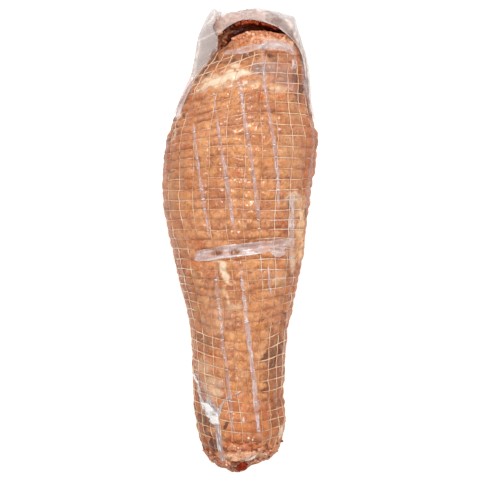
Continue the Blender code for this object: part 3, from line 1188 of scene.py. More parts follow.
@dataclass
class Net:
    """The elastic net: rows of cross threads and the lengthwise threads."""

    form: RoastForm
    lines: NetLines
    meat: Meat
    grain: Grain
    cross_radius: float = 0.54
    long_radius: float = 0.47
    uneven: Varied = Varied(1.0, 0.25, 4.0, layers=1, shift=5.0)
    sides: int = 6
    sunk: float = 0.55
    risen: float = 0.55
    cross_range: Span = (-219.0, 190.0)
    long_range: Span = (-224.0, 187.0)
    long_bare: float = 0.14
    fray: float = 2.5
    fray_step: float = 7.0
    fray_size: float = 5.0
    edge_raggedness: float = 0.35
    edge_size: float = 9.0
    unseen: Varied = Varied(0.65, 0.4, 30.0, layers=1, shift=60.0)
    seen_above: float = 30.0
    seen_fade: float = 12.0
    mottle: float = 0.30
    mottle_size: float = 6.0
    showing: tuple[Patch, ...] = patches(
        (280, 362, 20, 34, 1), (203, 368, 18, 40, 1), (182, 285, 12, 60, 1, 8),
        (196, 420, 14, 40, 0.65, 6), (228, 415, 22, 30, 0.6), (276, 425, 12, 30, 0.5),
        (255, 66, 46, 14, 0.75), (200, 78, 24, 10, 0.9, 45), (290, 110, 18, 60, 0.75),
        (176, 130, 16, 40, 0.35, 20), (222, 60, 16, 8, 0.8, 30), (176, 215, 14, 60, 0.42),
        (284, 215, 20, 60, 0.75), (230, 130, 40, 50, 0.32), (230, 205, 50, 40, 0.25),
        (245, 280, 40, 30, 0.2), (290, 310, 8, 40, 0.5), (270, 262, 20, 34, 0.62),
    )
    bleached: tuple[Patch, ...] = patches(
        (284, 195, 26, 56, 1), (272, 76, 28, 18, 0.8), (240, 125, 24, 30, 0.8), (180, 290, 16, 60, 0.6),
        (228, 172, 52, 90, 0.8), (270, 262, 24, 40, 1),
    )

    def bareness(self, points: Array) -> Array:
        """How much the threads show.

        Args:
            points: Points on the flesh.

        Returns:
            A value from 0 to 1 at each point.
        """
        ragged = self.edge_raggedness * self.grain.at(points, self.edge_size)
        shown = strongest(self.showing, *to_picture(points), ragged)
        unseen = self.unseen.over(self.grain, points)
        above = smooth_step(0.0, self.seen_fade, points[..., 2] - self.seen_above)
        mottled = self.mottle * self.grain.at(points, self.mottle_size, shift=25.0)
        return np.clip(shown * above + unseen * (1 - above) + mottled, 0.0, 1.0)

    def path(self, ring: Array, column: Array, radius: float, more: float) -> tuple[Array, ...]:
        """One thread's way over the flesh.

        Args:
            ring: The rings of its points on the grid.
            column: Their columns.
            radius: The thread's radius.
            more: How much barer it lies than the meat around it says.

        Returns:
            Its points, the outward directions and how bare it lies at each point.
        """
        place = read_grid(self.meat.skin, ring, column)
        out = unit(read_grid(self.form.normals, ring, column))
        bare = np.clip(self.bareness(place) + more, 0.0, 1.0)
        lift = bare * (self.sunk + self.risen) - self.sunk
        place = place + out * lift[:, None]
        place[:, 2] = np.maximum(place[:, 2], radius)
        return place, out, bare

    def thread(self, way: tuple[Array, Array, Array], radius: float, closed: bool) -> tuple:
        """One thread's uneven tube and how bare it lies, from its way."""
        uneven = radius * self.uneven.over(self.grain, way[0])
        return *tube(*way[:2], uneven, closed, self.sides), np.repeat(way[2], self.sides)

    def piece(self, name: str, threads: list, finish: Material) -> Piece:
        """One piece of many threads.

        Args:
            name: The piece's name.
            threads: The threads' tubes, each with how bare it lies.
            finish: The thread's material.

        Returns:
            The piece.
        """
        points, faces = joined([thread[:2] for thread in threads])
        bleached = strongest(self.bleached, *to_picture(points))
        marks = {"bare": np.concatenate([thread[2] for thread in threads]), "bleached": bleached}
        return new_mesh(name, points, faces, finish, marks)

    def cross_threads(self, finish: Material) -> Piece:
        """The rows of threads that run round the roast.

        Args:
            finish: The thread's material.

        Returns:
            The piece.
        """
        threads = []
        low, high = self.cross_range
        for number in range(int(self.lines.row.min()), int(self.lines.row.max()) + 1):
            found = self.lines.row_path(number)
            if found is None:
                continue
            way = self.path(*found, self.cross_radius, 0.0)
            if low < way[0][:, 1].mean() < high:
                threads.append(self.thread(way, self.cross_radius, closed=True))
        return self.piece("net_cross_threads", threads, finish)

    def long_threads(self, finish: Material) -> Piece:
        """The threads that run the length of the roast.

        Args:
            finish: The thread's material.

        Returns:
            The piece.
        """
        threads = []
        half = self.form.threads_round // 2
        low, high = self.long_range
        for number in range(-half, half):
            way = self.path(*self.lines.column_path(number), self.long_radius, self.long_bare)
            seeded = np.array([number * self.fray_step, 0.0, 0.0])
            fray = self.fray * self.grain.at(seeded, self.fray_size)
            kept = (way[0][:, 1] > low - fray) & (way[0][:, 1] < high + fray)
            way = tuple(values[kept] for values in way)
            threads.append(self.thread(way, self.long_radius, closed=False))
        return self.piece("net_long_threads", threads, finish)


class Bench:
    """Places shader nodes in a tree and links them."""

    def __init__(self, tree: bpy.types.NodeTree) -> None:
        """Takes the tree that the nodes go into."""
        self.tree = tree

    def feed(self, node: bpy.types.Node, sockets: dict) -> None:
        """Gives a node's inputs their values.

        Args:
            node: The node.
            sockets: For each input by name or number, a value or the output that feeds it.
        """
        for name, value in sockets.items():
            if isinstance(value, Socket):
                self.tree.links.new(value, node.inputs[name])
            else:
                node.inputs[name].default_value = opaque(value)

    def put(self, kind: str, sockets: dict | None = None, **settings: object) -> bpy.types.Node:
        """Adds a node.

        Args:
            kind: The node's type, without the word ShaderNode.
            sockets: For each input by name or number, a value or the output that feeds it.
            settings: Values of the node's own properties.

        Returns:
            The node.
        """
        node = self.tree.nodes.new("ShaderNode" + kind)
        for name, value in settings.items():
            setattr(node, name, value)
        self.feed(node, sockets or {})
        return node

    def dress(self, sockets: dict) -> None:
        """Gives the material's shader its values, or the outputs that feed it."""
        self.feed(self.tree.nodes["Principled BSDF"], sockets)

    def math(self, operation: str, first: object, second: object, clamp: bool = False) -> Socket:
        """The result of a sum with two numbers."""
        return self.put("Math", {0: first, 1: second}, operation=operation, use_clamp=clamp).outputs[0]

    def line(self, value: Socket, slope: float, start: float, clamp: bool = False) -> Socket:
        """A number that rises evenly with another."""
        return self.math("ADD", self.math("MULTIPLY", value, slope), start, clamp)

    def ramp(self, value: Socket, low: object, high: object) -> Socket:
        """A smooth rise from 0 to 1 between two values."""
        sockets = {"Value": value, "From Min": low, "From Max": high}
        return self.put("MapRange", sockets, interpolation_type="SMOOTHSTEP").outputs[0]

    def mix(self, share: object, first: object, second: object) -> Socket:
        """Two colours mixed."""
        return self.put("Mix", {0: share, 6: first, 7: second}, data_type="RGBA").outputs[2]

    def painted(self, colour: object, layers: list[tuple[Socket, float, Colour]]) -> Socket:
        """Colours laid over one another.

        Args:
            colour: The ground.
            layers: For each layer where it lies, how much it covers there, and its colour.

        Returns:
            The colour.
        """
        for amount, most, paint in layers:
            colour = self.mix(self.math("MULTIPLY", amount, most, clamp=True), colour, paint)
        return colour

    def noise(self, sockets: dict, kind: str = "FBM") -> Socket:
        """Noise over the piece, with the seed as its fourth axis."""
        return self.put("TexNoise", sockets, noise_dimensions="4D", noise_type=kind).outputs[0]

    def group(self, tree: bpy.types.NodeTree, *inputs: object) -> dict[str, Socket]:
        """The outputs of a group whose inputs are given in their order."""
        return self.put("Group", dict(enumerate(inputs)), node_tree=tree).outputs

    def bump(self, height: Socket, distance: float, strength: float = 1.0) -> Socket:
        """The normal over a bumpy surface."""
        sockets = {"Height": height, "Distance": distance, "Strength": strength}
        return self.put("Bump", sockets).outputs[0]

    def attribute(self, name: str) -> Socket:
        """A number stored on the mesh."""
        return self.put("Attribute", attribute_name=name).outputs["Fac"]


class Effects:
    """The node groups that several finishes share."""

    FINER = 4.3
    FINE_SHARE = 0.35
    FIBRE_EDGE = (0.35, 0.65)
    CRINKLE_EDGE = (0.5, 1.4)

    def __init__(self) -> None:
        """Builds the groups."""
        self.mottle = self.make_mottle()
        self.fibre = self.make_fibre()
        self.crinkle = self.make_crinkle()

    @staticmethod
    def begin(name: str, inputs: dict[str, float | Colour]) -> tuple[Bench, dict, Socket]:
        """An empty group with named inputs.

        Args:
            name: The group's name.
            inputs: For each input its usual value.

        Returns:
            The group's bench, its inputs and the place on the piece.
        """
        bench = Bench(bpy.data.node_groups.new(name, "ShaderNodeTree"))
        for label, value in inputs.items():
            kind = "NodeSocketColor" if isinstance(value, tuple) else "NodeSocketFloat"
            socket = bench.tree.interface.new_socket(label, in_out="INPUT", socket_type=kind)
            socket.default_value = opaque(value)
        given = bench.tree.nodes.new("NodeGroupInput").outputs
        return bench, given, bench.put("NewGeometry").outputs["Position"]

    @staticmethod
    def end(bench: Bench, results: dict[str, Socket]) -> bpy.types.NodeTree:
        """Gives a group its outputs.

        Args:
            bench: The group's bench.
            results: What each output puts out.

        Returns:
            The group.
        """
        for label, value in results.items():
            kind = "NodeSocketColor" if value.type == "RGBA" else "NodeSocketFloat"
            bench.tree.interface.new_socket(label, in_out="OUTPUT", socket_type=kind)
        bench.feed(bench.tree.nodes.new("NodeGroupOutput"), results)
        return bench.tree

    def make_mottle(self) -> bpy.types.NodeTree:
        """Blotches of a second colour, in two sizes.

        Returns:
            The group.
        """
        inputs = {"Base": BLACK, "Blotch": WHITE, "Size": 8.0, "Amount": 1.0, "Seed": 0.0}
        inputs |= {"From": 0.40, "To": 0.62}
        bench, given, place = self.begin("mottle", inputs)
        scale = bench.math("DIVIDE", 1 / MM, given["Size"])
        sockets = {"Vector": place, "W": given["Seed"], "Scale": scale, "Detail": 5.0, "Roughness": 0.6}
        coarse = bench.noise(sockets)
        finer = bench.math("MULTIPLY", scale, self.FINER)
        fine = bench.noise(sockets | {"Scale": finer, "Detail": 3.0, "Roughness": 0.65})
        coarse = bench.math("MULTIPLY", coarse, 1 - self.FINE_SHARE)
        both = bench.math("ADD", coarse, bench.math("MULTIPLY", fine, self.FINE_SHARE))
        mask = bench.ramp(both, given["From"], given["To"])
        colour = bench.mix(bench.math("MULTIPLY", mask, given["Amount"]), given["Base"], given["Blotch"])
        return self.end(bench, {"Colour": colour, "Mask": mask})

    def make_fibre(self) -> bpy.types.NodeTree:
        """Fine ragged fibres of flesh, lying along the roast.

        Returns:
            The group.
        """
        bench, given, place = self.begin("fibre", {"Length": 6.0, "Width": 1.1, "Seed": 0.0})
        along = bench.math("DIVIDE", 1 / MM, given["Length"])
        across = bench.math("DIVIDE", 1 / MM, given["Width"])
        scale = bench.put("CombineXYZ", {0: across, 1: along, 2: across}).outputs[0]
        stretched = bench.put("VectorMath", {0: place, 1: scale}, operation="MULTIPLY").outputs[0]
        sockets = {"Vector": stretched, "W": given["Seed"], "Scale": 1.0, "Detail": 4.0}
        height = bench.noise(sockets | {"Roughness": 0.6, "Distortion": 0.8})
        return self.end(bench, {"Height": height, "Mask": bench.ramp(height, *self.FIBRE_EDGE)})

    def make_crinkle(self) -> bpy.types.NodeTree:
        """Small sharp folds of film that clings.

        Returns:
            The group.
        """
        bench, given, place = self.begin("crinkle", {"Size": 5.0, "Seed": 0.0})
        scale = bench.math("DIVIDE", 1 / MM, given["Size"])
        sockets = {"Vector": place, "W": given["Seed"], "Scale": scale, "Detail": 3.0}
        sockets |= {"Roughness": 0.5, "Distortion": 1.4}
        height = bench.noise(sockets, "RIDGED_MULTIFRACTAL")
        return self.end(bench, {"Height": height, "Mask": bench.ramp(height, *self.CRINKLE_EDGE)})


def new_finish(name: str) -> tuple[Material, Bench]:
    """A new material and the bench for its nodes.

    Args:
        name: The material's name.

    Returns:
        The material and its bench.
    """
    material = bpy.data.materials.new(name)
    material.use_nodes = True
    return material, Bench(material.node_tree)


@dataclass(frozen=True)
class MeatFinish:
    """Smoked meat under clinging film, its colours set by the marks and stains stored on the mesh, with
    painted shade beside the threads and in the grooves and painted glints on the bulges.
    """

    LIGHT = (0.92, 0.44, 0.185)
    # A dark colour both for meshes darker at random and for the painted shade beside the threads.
    DARK_TONE_AND_SHADE = (0.34, 0.085, 0.032)
    PIT = (0.26, 0.070, 0.025)

    name: str = "smoked_meat"
    tan: Colour = (0.60, 0.198, 0.066)
    patches: tuple[tuple[Colour, float, float, float], ...] = (
        ((0.84, 0.325, 0.075), 22.0, 0.66, 1.0),
        ((0.84, 0.37, 0.20), 13.0, 0.62, 2.0),
        ((0.38, 0.095, 0.034), 9.5, 0.66, 6.0),
        (LIGHT, 6.0, 0.66, 4.0),
    )
    patch_edge: Span = (0.475, 0.555)
    paints: tuple[tuple[str, float, Colour], ...] = (
        ("fibre", 0.10, LIGHT),
        ("between_fibres", 0.22, PIT),
        ("tone", 0.20, LIGHT),
        ("tone", -0.36, DARK_TONE_AND_SHADE),
        ("speck", 0.10, (0.98, 0.64, 0.40)),
        ("pit", 0.16, PIT),
        ("pale", 0.75, (0.62, 0.40, 0.20)),
        ("rust", 0.80, (0.66, 0.115, 0.014)),
        ("dark", 0.88, (0.115, 0.031, 0.015)),
        ("gold", 0.85, (1.0, 0.60, 0.29)),
        # Painted shade on the side of each bulge that turns from the lamp.
        ("under", 0.85, DARK_TONE_AND_SHADE),
        ("gash", 0.50, PIT),
        # Painted shade in the grooves between the bulges.
        ("groove", 0.50, (0.22, 0.058, 0.022)),
        ("fat", 0.88, (1.0, 0.79, 0.57)),
        ("glint", 0.60, (1.0, 0.93, 0.87)),
    )
    fibre: tuple[float, float, float] = (9.0, 2.2, 2.0)
    between_fibres: Span = (0.46, 0.32)
    speck: tuple[float, ...] = (1.9, 1.0, 8.0)
    pit_edge: Span = (0.35, 0.0)
    groove_shade_edge: Span = (0.50, 0.0)
    glint: tuple[float, ...] = (3.2, 1.0, 12.0, 0.600, 0.635)
    glint_on: Span = (0.3, 0.7)
    stain_line: Span = (0.35, 0.72)
    dark_line: Span = (0.55, 0.95)
    roughness_line: Span = (0.16, 0.34)
    coat: float = 0.42
    coat_roughness: float = 0.14
    specular: float = 0.22
    patch_height: float = 0.35
    speck_height: float = 0.14
    bump: float = 0.0009
    bump_strength: float = 0.8

    def stains(self, bench: Bench, patchy: Socket, tone: Socket) -> dict[str, Socket]:
        """Where each stain lies.

        Args:
            bench: The material's bench.
            patchy: Where the last of the flesh's patches lie.
            tone: The tone of each mesh.

        Returns:
            For each stain's name a value from 0 to 1.
        """
        ragged = bench.line(patchy, *self.stain_line)
        found = {}
        for stain in Stain:
            amount = bench.attribute(stain.value)
            found[stain.value] = bench.math("MULTIPLY", amount, ragged, clamp=stain is not Stain.DARK)
        uneven = bench.line(tone, *self.dark_line)
        dark = Stain.DARK.value
        found[dark] = bench.math("MULTIPLY", found[dark], uneven, clamp=True)
        return found

    def make(self, effects: Effects) -> Material:
        """Builds the material.

        Args:
            effects: The groups that it uses.

        Returns:
            The material.
        """
        material, bench = new_finish(self.name)
        colour = self.tan
        for patch in self.patches:
            spots = bench.group(effects.mottle, colour, *patch, *self.patch_edge)
            colour = spots["Colour"]
        patchy = spots["Mask"]
        speck = bench.group(effects.mottle, BLACK, WHITE, *self.speck)["Mask"]
        glint = bench.group(effects.mottle, BLACK, WHITE, *self.glint)["Mask"]
        fibre = bench.group(effects.fibre, *self.fibre)
        marks = {name: bench.attribute(name) for name in ("tone", "swell", "under", "gash", "rim")}
        places = marks | self.stains(bench, patchy, marks["tone"])
        places["fibre"] = fibre["Mask"]
        places["between_fibres"] = bench.ramp(fibre["Height"], *self.between_fibres)
        places["speck"] = speck
        places["pit"] = bench.ramp(speck, *self.pit_edge)
        places["groove"] = bench.ramp(marks["swell"], *self.groove_shade_edge)
        places["glint"] = bench.math("MULTIPLY", glint, bench.ramp(marks["swell"], *self.glint_on))
        colour = bench.painted(colour, [(places[place], most, paint) for place, most, paint in self.paints])
        height = bench.math("ADD", fibre["Height"], bench.math("MULTIPLY", patchy, self.patch_height))
        height = bench.math("ADD", height, bench.math("MULTIPLY", speck, self.speck_height))
        shown = bench.math("SUBTRACT", 1.0, marks["rim"], clamp=True)
        bench.dress({
            "Base Color": colour,
            "Roughness": bench.line(patchy, *self.roughness_line),
            "Normal": bench.bump(height, self.bump, self.bump_strength),
            "Coat Weight": bench.math("MULTIPLY", shown, self.coat),
            "Coat Roughness": self.coat_roughness,
            "Specular IOR Level": self.specular,
        })
        return material


@dataclass(frozen=True)
class WetMeatFinish:
    """Moist raw-looking meat: the hollow's walls and the scraps at the ends."""

    name: str
    base: Colour
    blotch: Colour
    coat: float = 0.5
    seed: float = 7.0
    size: float = 3.0
    amount: float = 0.8
    fibre_length: float = 3.0
    fibre_width: float = 1.0
    roughness_line: Span = (0.2, 0.25)
    coat_roughness: float = 0.1
    bump: float = 0.001

    def make(self, effects: Effects) -> Material:
        """Builds the material.

        Args:
            effects: The groups that it uses.

        Returns:
            The material.
        """
        material, bench = new_finish(self.name)
        fibre = bench.group(effects.fibre, self.fibre_length, self.fibre_width, self.seed)
        spots = (self.base, self.blotch, self.size, self.amount, self.seed)
        bench.dress({
            "Base Color": bench.group(effects.mottle, *spots)["Colour"],
            "Roughness": bench.line(fibre["Mask"], *self.roughness_line),
            "Normal": bench.bump(fibre["Height"], self.bump),
            "Coat Weight": self.coat,
            "Coat Roughness": self.coat_roughness,
            "Specular IOR Level": self.coat,
        })
        return material


@dataclass(frozen=True)
class ThreadFinish:
    """Cream elastic thread, stained where it lies deep in the meat."""

    name: str = "cream_thread"
    clean: Colour = (0.92, 0.66, 0.43)
    white: Colour = (0.90, 0.71, 0.58)
    stained: Colour = (0.72, 0.36, 0.18)
    bare_edge: Span = (0.1, 0.8)
    blotches: tuple[float, ...] = (9.0, 0.65, 9.0, 0.46, 0.56)
    twist: float = 0.9
    twist_seed: float = 3.0
    roughness_line: Span = (0.2, 0.5)
    bump: float = 0.0003

    def make(self, effects: Effects) -> Material:
        """Builds the material.

        Args:
            effects: The groups that it uses.

        Returns:
            The material.
        """
        material, bench = new_finish(self.name)
        fresh = bench.mix(bench.attribute("bleached"), self.clean, self.white)
        colour = bench.mix(bench.ramp(bench.attribute("bare"), *self.bare_edge), self.stained, fresh)
        fibre = bench.group(effects.fibre, self.twist, self.twist / 2, self.twist_seed)
        bench.dress({
            "Base Color": bench.group(effects.mottle, colour, self.stained, *self.blotches)["Colour"],
            "Roughness": bench.line(fibre["Mask"], *self.roughness_line),
            "Normal": bench.bump(fibre["Height"], self.bump),
        })
        return material


@dataclass(frozen=True)
class FilmFinish:
    """Clear film: greyish where it stands free, whiter along its folds."""

    name: str
    colour: Colour
    fold: Colour
    alpha: float
    fold_alpha: float
    size: float = 5.0
    bump: float = 0.0006
    seed: float = 1.5
    crinkle_most: float = 0.30
    roughness_line: Span = (0.15, 0.17)
    coat: float = 0.4
    coat_roughness: float = 0.12

    def make(self, effects: Effects) -> Material:
        """Builds the material.

        Args:
            effects: The groups that it uses.

        Returns:
            The material.
        """
        material, bench = new_finish(self.name)
        crinkle = bench.group(effects.crinkle, self.size, self.seed)
        folded = bench.math("MULTIPLY", crinkle["Mask"], self.crinkle_most)
        folded = bench.math("MAXIMUM", folded, bench.attribute("fold"), clamp=True)
        seen = bench.line(folded, self.fold_alpha - self.alpha, self.alpha, clamp=True)
        bench.dress({
            "Base Color": bench.mix(folded, self.colour, self.fold),
            "Roughness": bench.line(crinkle["Mask"], *self.roughness_line),
            "Alpha": bench.math("MULTIPLY", seen, bench.attribute("cover"), clamp=True),
            "Normal": bench.bump(crinkle["Height"], self.bump),
            "Coat Weight": self.coat,
            "Coat Roughness": self.coat_roughness,
        })
        return material


HOLLOW_WALL = WetMeatFinish("hollow_wall", (0.60, 0.105, 0.030), (0.16, 0.028, 0.012))
STRIP_FILM = FilmFinish("strip_film", (0.78, 0.60, 0.60), (1.0, 0.90, 0.88), 0.29, 0.52)
BAND_FILM = FilmFinish("band_film", (0.90, 0.71, 0.68), (1.0, 0.90, 0.86), 0.28, 0.54)
BUNCHED_FILM = FilmFinish(
    "bunched_film", (0.74, 0.62, 0.62), (1.0, 0.95, 0.92), 0.26, 0.86, size=2.4, bump=0.0016
)
HOOD_FILM = FilmFinish("hood_film", (0.34, 0.26, 0.235), (1.0, 0.84, 0.78), 0.26, 0.50, size=10.0)


@dataclass(frozen=True)
class Strip:
    """A narrow fold of film that runs over the threads, given by its middle line in the picture."""

    POINTS_EACH = 4
    WIDENED = 1.15

    name: str
    path: Line
    widths: tuple[float, ...]
    rise: float = 0.4
    whiteness: float = -0.08
    knots: bool = False
    cover: float = 0.95
    soft: float = 0.10
    ragged: float = 0.20

    def edges(self) -> tuple[Array, Array]:
        """Its two edges in the picture.

        Returns:
            The points of one edge and of the other.
        """
        count = max(len(self.path), len(self.widths)) * self.POINTS_EACH
        middle = resample(self.path, count)
        given = np.linspace(0, 1, len(self.widths))
        wide = self.WIDENED * np.interp(np.linspace(0, 1, count), given, self.widths)
        ahead = unit(np.gradient(middle, axis=0))
        side = np.stack([ahead[:, 1], -ahead[:, 0]], axis=1) * wide[:, None] / 2
        return middle - side, middle + side


@dataclass(frozen=True)
class Web:
    """A wider piece of loose film, given by its two edges in the picture."""

    name: str
    first: Line
    second: Line
    rise: float = 1.0
    whiteness: float = 0.3
    cover: float = 1.0
    soft: float = 0.06
    ragged: float = 0.20

    def edges(self) -> tuple[Array, Array]:
        """Its two edges in the picture."""
        return np.array(self.first), np.array(self.second)


STRIPS = (
    Strip("film_strip_a", ((192.9, 120), (196, 150), (202.5, 196), (206, 218), (209.5, 239)), (1.4, 2.6,
        2.8, 2.8, 1.6), knots=True),
    Strip("film_strip_b", ((213.3, 89), (216.5, 115), (219.7, 138), (222.9, 156), (228, 191),
        (234.4, 234)), (1.2, 1.8, 3.2, 3.4, 3.6, 2.4), whiteness=-0.25, knots=True),
    Strip("film_strip_c", ((237.6, 69), (240.8, 89), (243.3, 111), (247.8, 138), (252, 164.5), (256, 195),
        (259.3, 231.6)), (2, 3, 3.2, 2.8, 3, 3.4, 2.6), knots=True),
    Strip("film_strip_d", ((263, 44.6), (263.7, 70), (267.6, 102), (272.7, 134), (276.5, 164.5),
        (278.4, 190), (279, 214)), (2.6, 2.8, 3, 3.2, 3, 2.4, 1.2), knots=True),
    Strip("film_strip_e", ((215.3, 264.8), (216.5, 288), (219, 307), (221.6, 328), (222.9, 346),
        (226.4, 367), (229.6, 396), (231.5, 414), (233.4, 437)), (2, 3, 2.2, 2.2, 3.2, 3.4, 3.2, 2.4,
        2.8), knots=True),
    Strip("film_strip_f", ((240, 265), (243.3, 290), (246, 318), (249.7, 346), (252.2, 366.5), (256, 405),
        (259.9, 443)), (1.6, 3.2, 4.2, 3.8, 4.2, 4.2, 2.2), whiteness=0.45, knots=True),
    Strip("film_strip_g", ((268.2, 265), (269.4, 281), (270.7, 297)), (1.2, 2.2, 1), knots=True),
    Strip("film_edge_left", ((178, 108), (169.5, 136), (166.2, 160), (165.8, 200), (169, 226), (175, 250),
        (184, 286)), (2, 3.4, 2.8, 3.4, 3.4, 2.4, 1.6), rise=0.5, whiteness=-0.5, cover=0.2),
    Strip("film_edge_right", ((309, 100), (311.5, 120), (314, 140), (311, 166), (308.5, 190), (306, 215)),
        (1.8, 3.6, 2.6, 2.2, 3.4, 1.6), rise=0.5, whiteness=-0.5, cover=0.2),
    Strip("film_edge_lower_left", ((176.5, 250), (184, 286), (190.5, 318), (194.5, 345), (195, 368)),
        (1.2, 2.2, 2.4, 2.4, 1.6), rise=0.5, whiteness=-0.4, cover=0.22),
    Strip("film_edge_lower_right", ((293, 270), (288.6, 300), (285.4, 328), (283, 352), (281.4, 388)),
        (1.6, 2.4, 2.8, 3, 1.6), rise=0.5, whiteness=-0.4, cover=0.2),
)
BANDS = (
    Web("film_middle_band", ((193, 253.8), (197.7, 251), (213, 247.6), (226, 245), (243.6, 243.8),
        (259, 241.5), (274, 240), (290, 238.4)), ((192.8, 260.5), (197, 261.4), (205, 261),
        (216.8, 259.2), (236, 256.8), (255, 254.5), (266.5, 252.2), (290, 247.6)), rise=0.6,
        whiteness=0, cover=1.4, ragged=0.08),
    Web("film_band_flap", ((269, 250.2), (277, 249), (287, 247.4)), ((269, 253.4), (278, 256.6),
        (287, 255.4)), rise=0.5, whiteness=0.6, cover=0.9, soft=0.2),
    Strip("film_edge_top_left", ((193.5, 74), (191.8, 80), (187, 90), (182.6, 100), (179.2, 110),
        (176.6, 120)), (5, 5.2, 4.6, 4.4, 4, 2.4), rise=1, whiteness=-0.6, cover=1.9, ragged=0.06),
    Strip("film_band_edge", ((195, 259.6), (205, 260), (216.8, 258.4), (236, 256), (255, 253.8),
        (266.5, 252)), (1.2, 1.8, 1.6, 1.4, 1.8, 0.8), rise=0.3, whiteness=0.9, cover=1.1, ragged=0.12),
    Strip("film_upper_band", ((220.5, 54.2), (228, 52.6), (240, 50.6), (252, 48), (262, 45.8), (274, 45),
        (286, 46.5), (296, 50)), (2, 4.6, 5.4, 5.4, 5.6, 4.6, 4, 3.4), rise=0.6, whiteness=0.25,
        soft=0.18, cover=1.2, ragged=0.08),
    Strip("film_end_gloss", ((240, 459), (246, 460), (251, 458.6), (257, 455)), (1, 2, 2.2, 1),
        rise=0.6, whiteness=0.7, cover=1.4, ragged=0.6),
    Strip("film_glint", ((243.4, 417), (243.6, 420), (243.6, 421.8)), (0.5, 1.6, 1.6), whiteness=2,
        cover=2),
    Strip("film_glint_low", ((247.6, 438.6), (248.6, 438.2), (249.6, 437.6)), (0.8, 1.7, 0.9),
        whiteness=2, cover=2),
    Strip("film_glint_right", ((251.8, 439.6), (252.6, 440), (253.4, 440.6)), (0.8, 1.5, 0.9),
        whiteness=2, cover=2),
    Web("film_upper_haze", ((258, 38.5), (270, 39), (284, 41), (296, 46.5)), ((260, 50), (272, 50.5),
        (286, 52), (299, 56)), rise=0.5, cover=0.6, soft=0.2),
    # Whitish film over the brown bulges, partly painted sheen.
    Web("film_pillow_haze", ((248, 61), (272, 59.5), (297, 64)), ((250, 77), (274, 84), (298, 92)),
        rise=0.5, whiteness=0.2, cover=0.28, soft=0.2),
    Web("film_tent_right", ((291, 58), (292, 64), (290, 71)), ((295, 58), (297.5, 64), (295, 71)),
        rise=1.4, whiteness=0.1, cover=0.6, soft=0.25),
    Web("film_right_haze", ((303, 58), (307.5, 80), (309, 100)), ((299, 60), (302.5, 80), (304, 100)),
        rise=0.5, cover=0.6),
    Web("film_side_haze", ((290, 190), (289, 225), (288.5, 268)), ((294, 190), (294.5, 225), (293, 268)),
        rise=0.5, cover=0.75, whiteness=0.4, soft=0.16, ragged=0.35),
)
BUNCH = (
    Web("film_bunch_web", ((192.5, 372), (196, 378), (199, 386), (201, 394), (203.5, 402.5), (207, 411),
        (213, 420)), ((194, 371), (200, 377), (206, 385), (211, 395), (215, 404), (218, 412), (219, 421)),
        rise=1, whiteness=-0.5, cover=0.6),
    Web("film_bunch_patch", ((201.5, 402), (204.5, 410), (207, 416), (210.5, 421.5), (214.2, 425)),
        ((206.5, 402.5), (211.5, 407.5), (216, 411), (219.8, 414), (221, 425)), rise=1.8, whiteness=1,
        cover=1.5, ragged=0.34),
    Web("film_bunch_spread", ((205, 398), (207, 408), (212, 417)), ((209, 398), (215, 406), (221, 413)),
        rise=1, whiteness=0.3, soft=0.2),
    Strip("film_bunch_fold", ((192.3, 372.5), (195.6, 378), (198, 384.6), (199.6, 393.6), (202.3, 402.5),
        (206, 411)), (1, 1.7, 1.9, 2.2, 3, 4.6), rise=1.2, whiteness=0.5, cover=1.1),
    Strip("film_bunch_strand", ((217.2, 421), (217.4, 430), (218.6, 438), (220.5, 449), (223.6, 461.5)),
        (5.4, 5.2, 5, 4.8, 4.8), rise=0.9, whiteness=0, cover=1.6, soft=0.03, ragged=0.06),
    Strip("film_bunch_branch", ((217.5, 417), (219.5, 410), (221.8, 404.8), (226, 399.2), (231, 396.6),
        (238, 393), (244.6, 389.5)), (3.4, 2.4, 2, 1.7, 1.2, 1), rise=0.7, whiteness=0.25, cover=1.1,
        ragged=0.12),
)


@dataclass(frozen=True)
class Laid:
    """A fold laid out in the picture, in rows along it and columns across it.

    Its plan holds the places in the picture, seeded the same before its edges were made
    ragged, with a number that gives the fold a noise of its own. Along, across and width are
    in picture units.
    """

    plan: Array
    seeded: Array
    run: Array
    share: Array
    along: Array
    across: Array
    width: Array

    def faded(self, share: float) -> Array:
        """1 along the fold, falling to 0 over a share of its length at each end."""
        return smooth_step(0.0, share, self.run) * (1 - smooth_step(1 - share, 1.0, self.run))


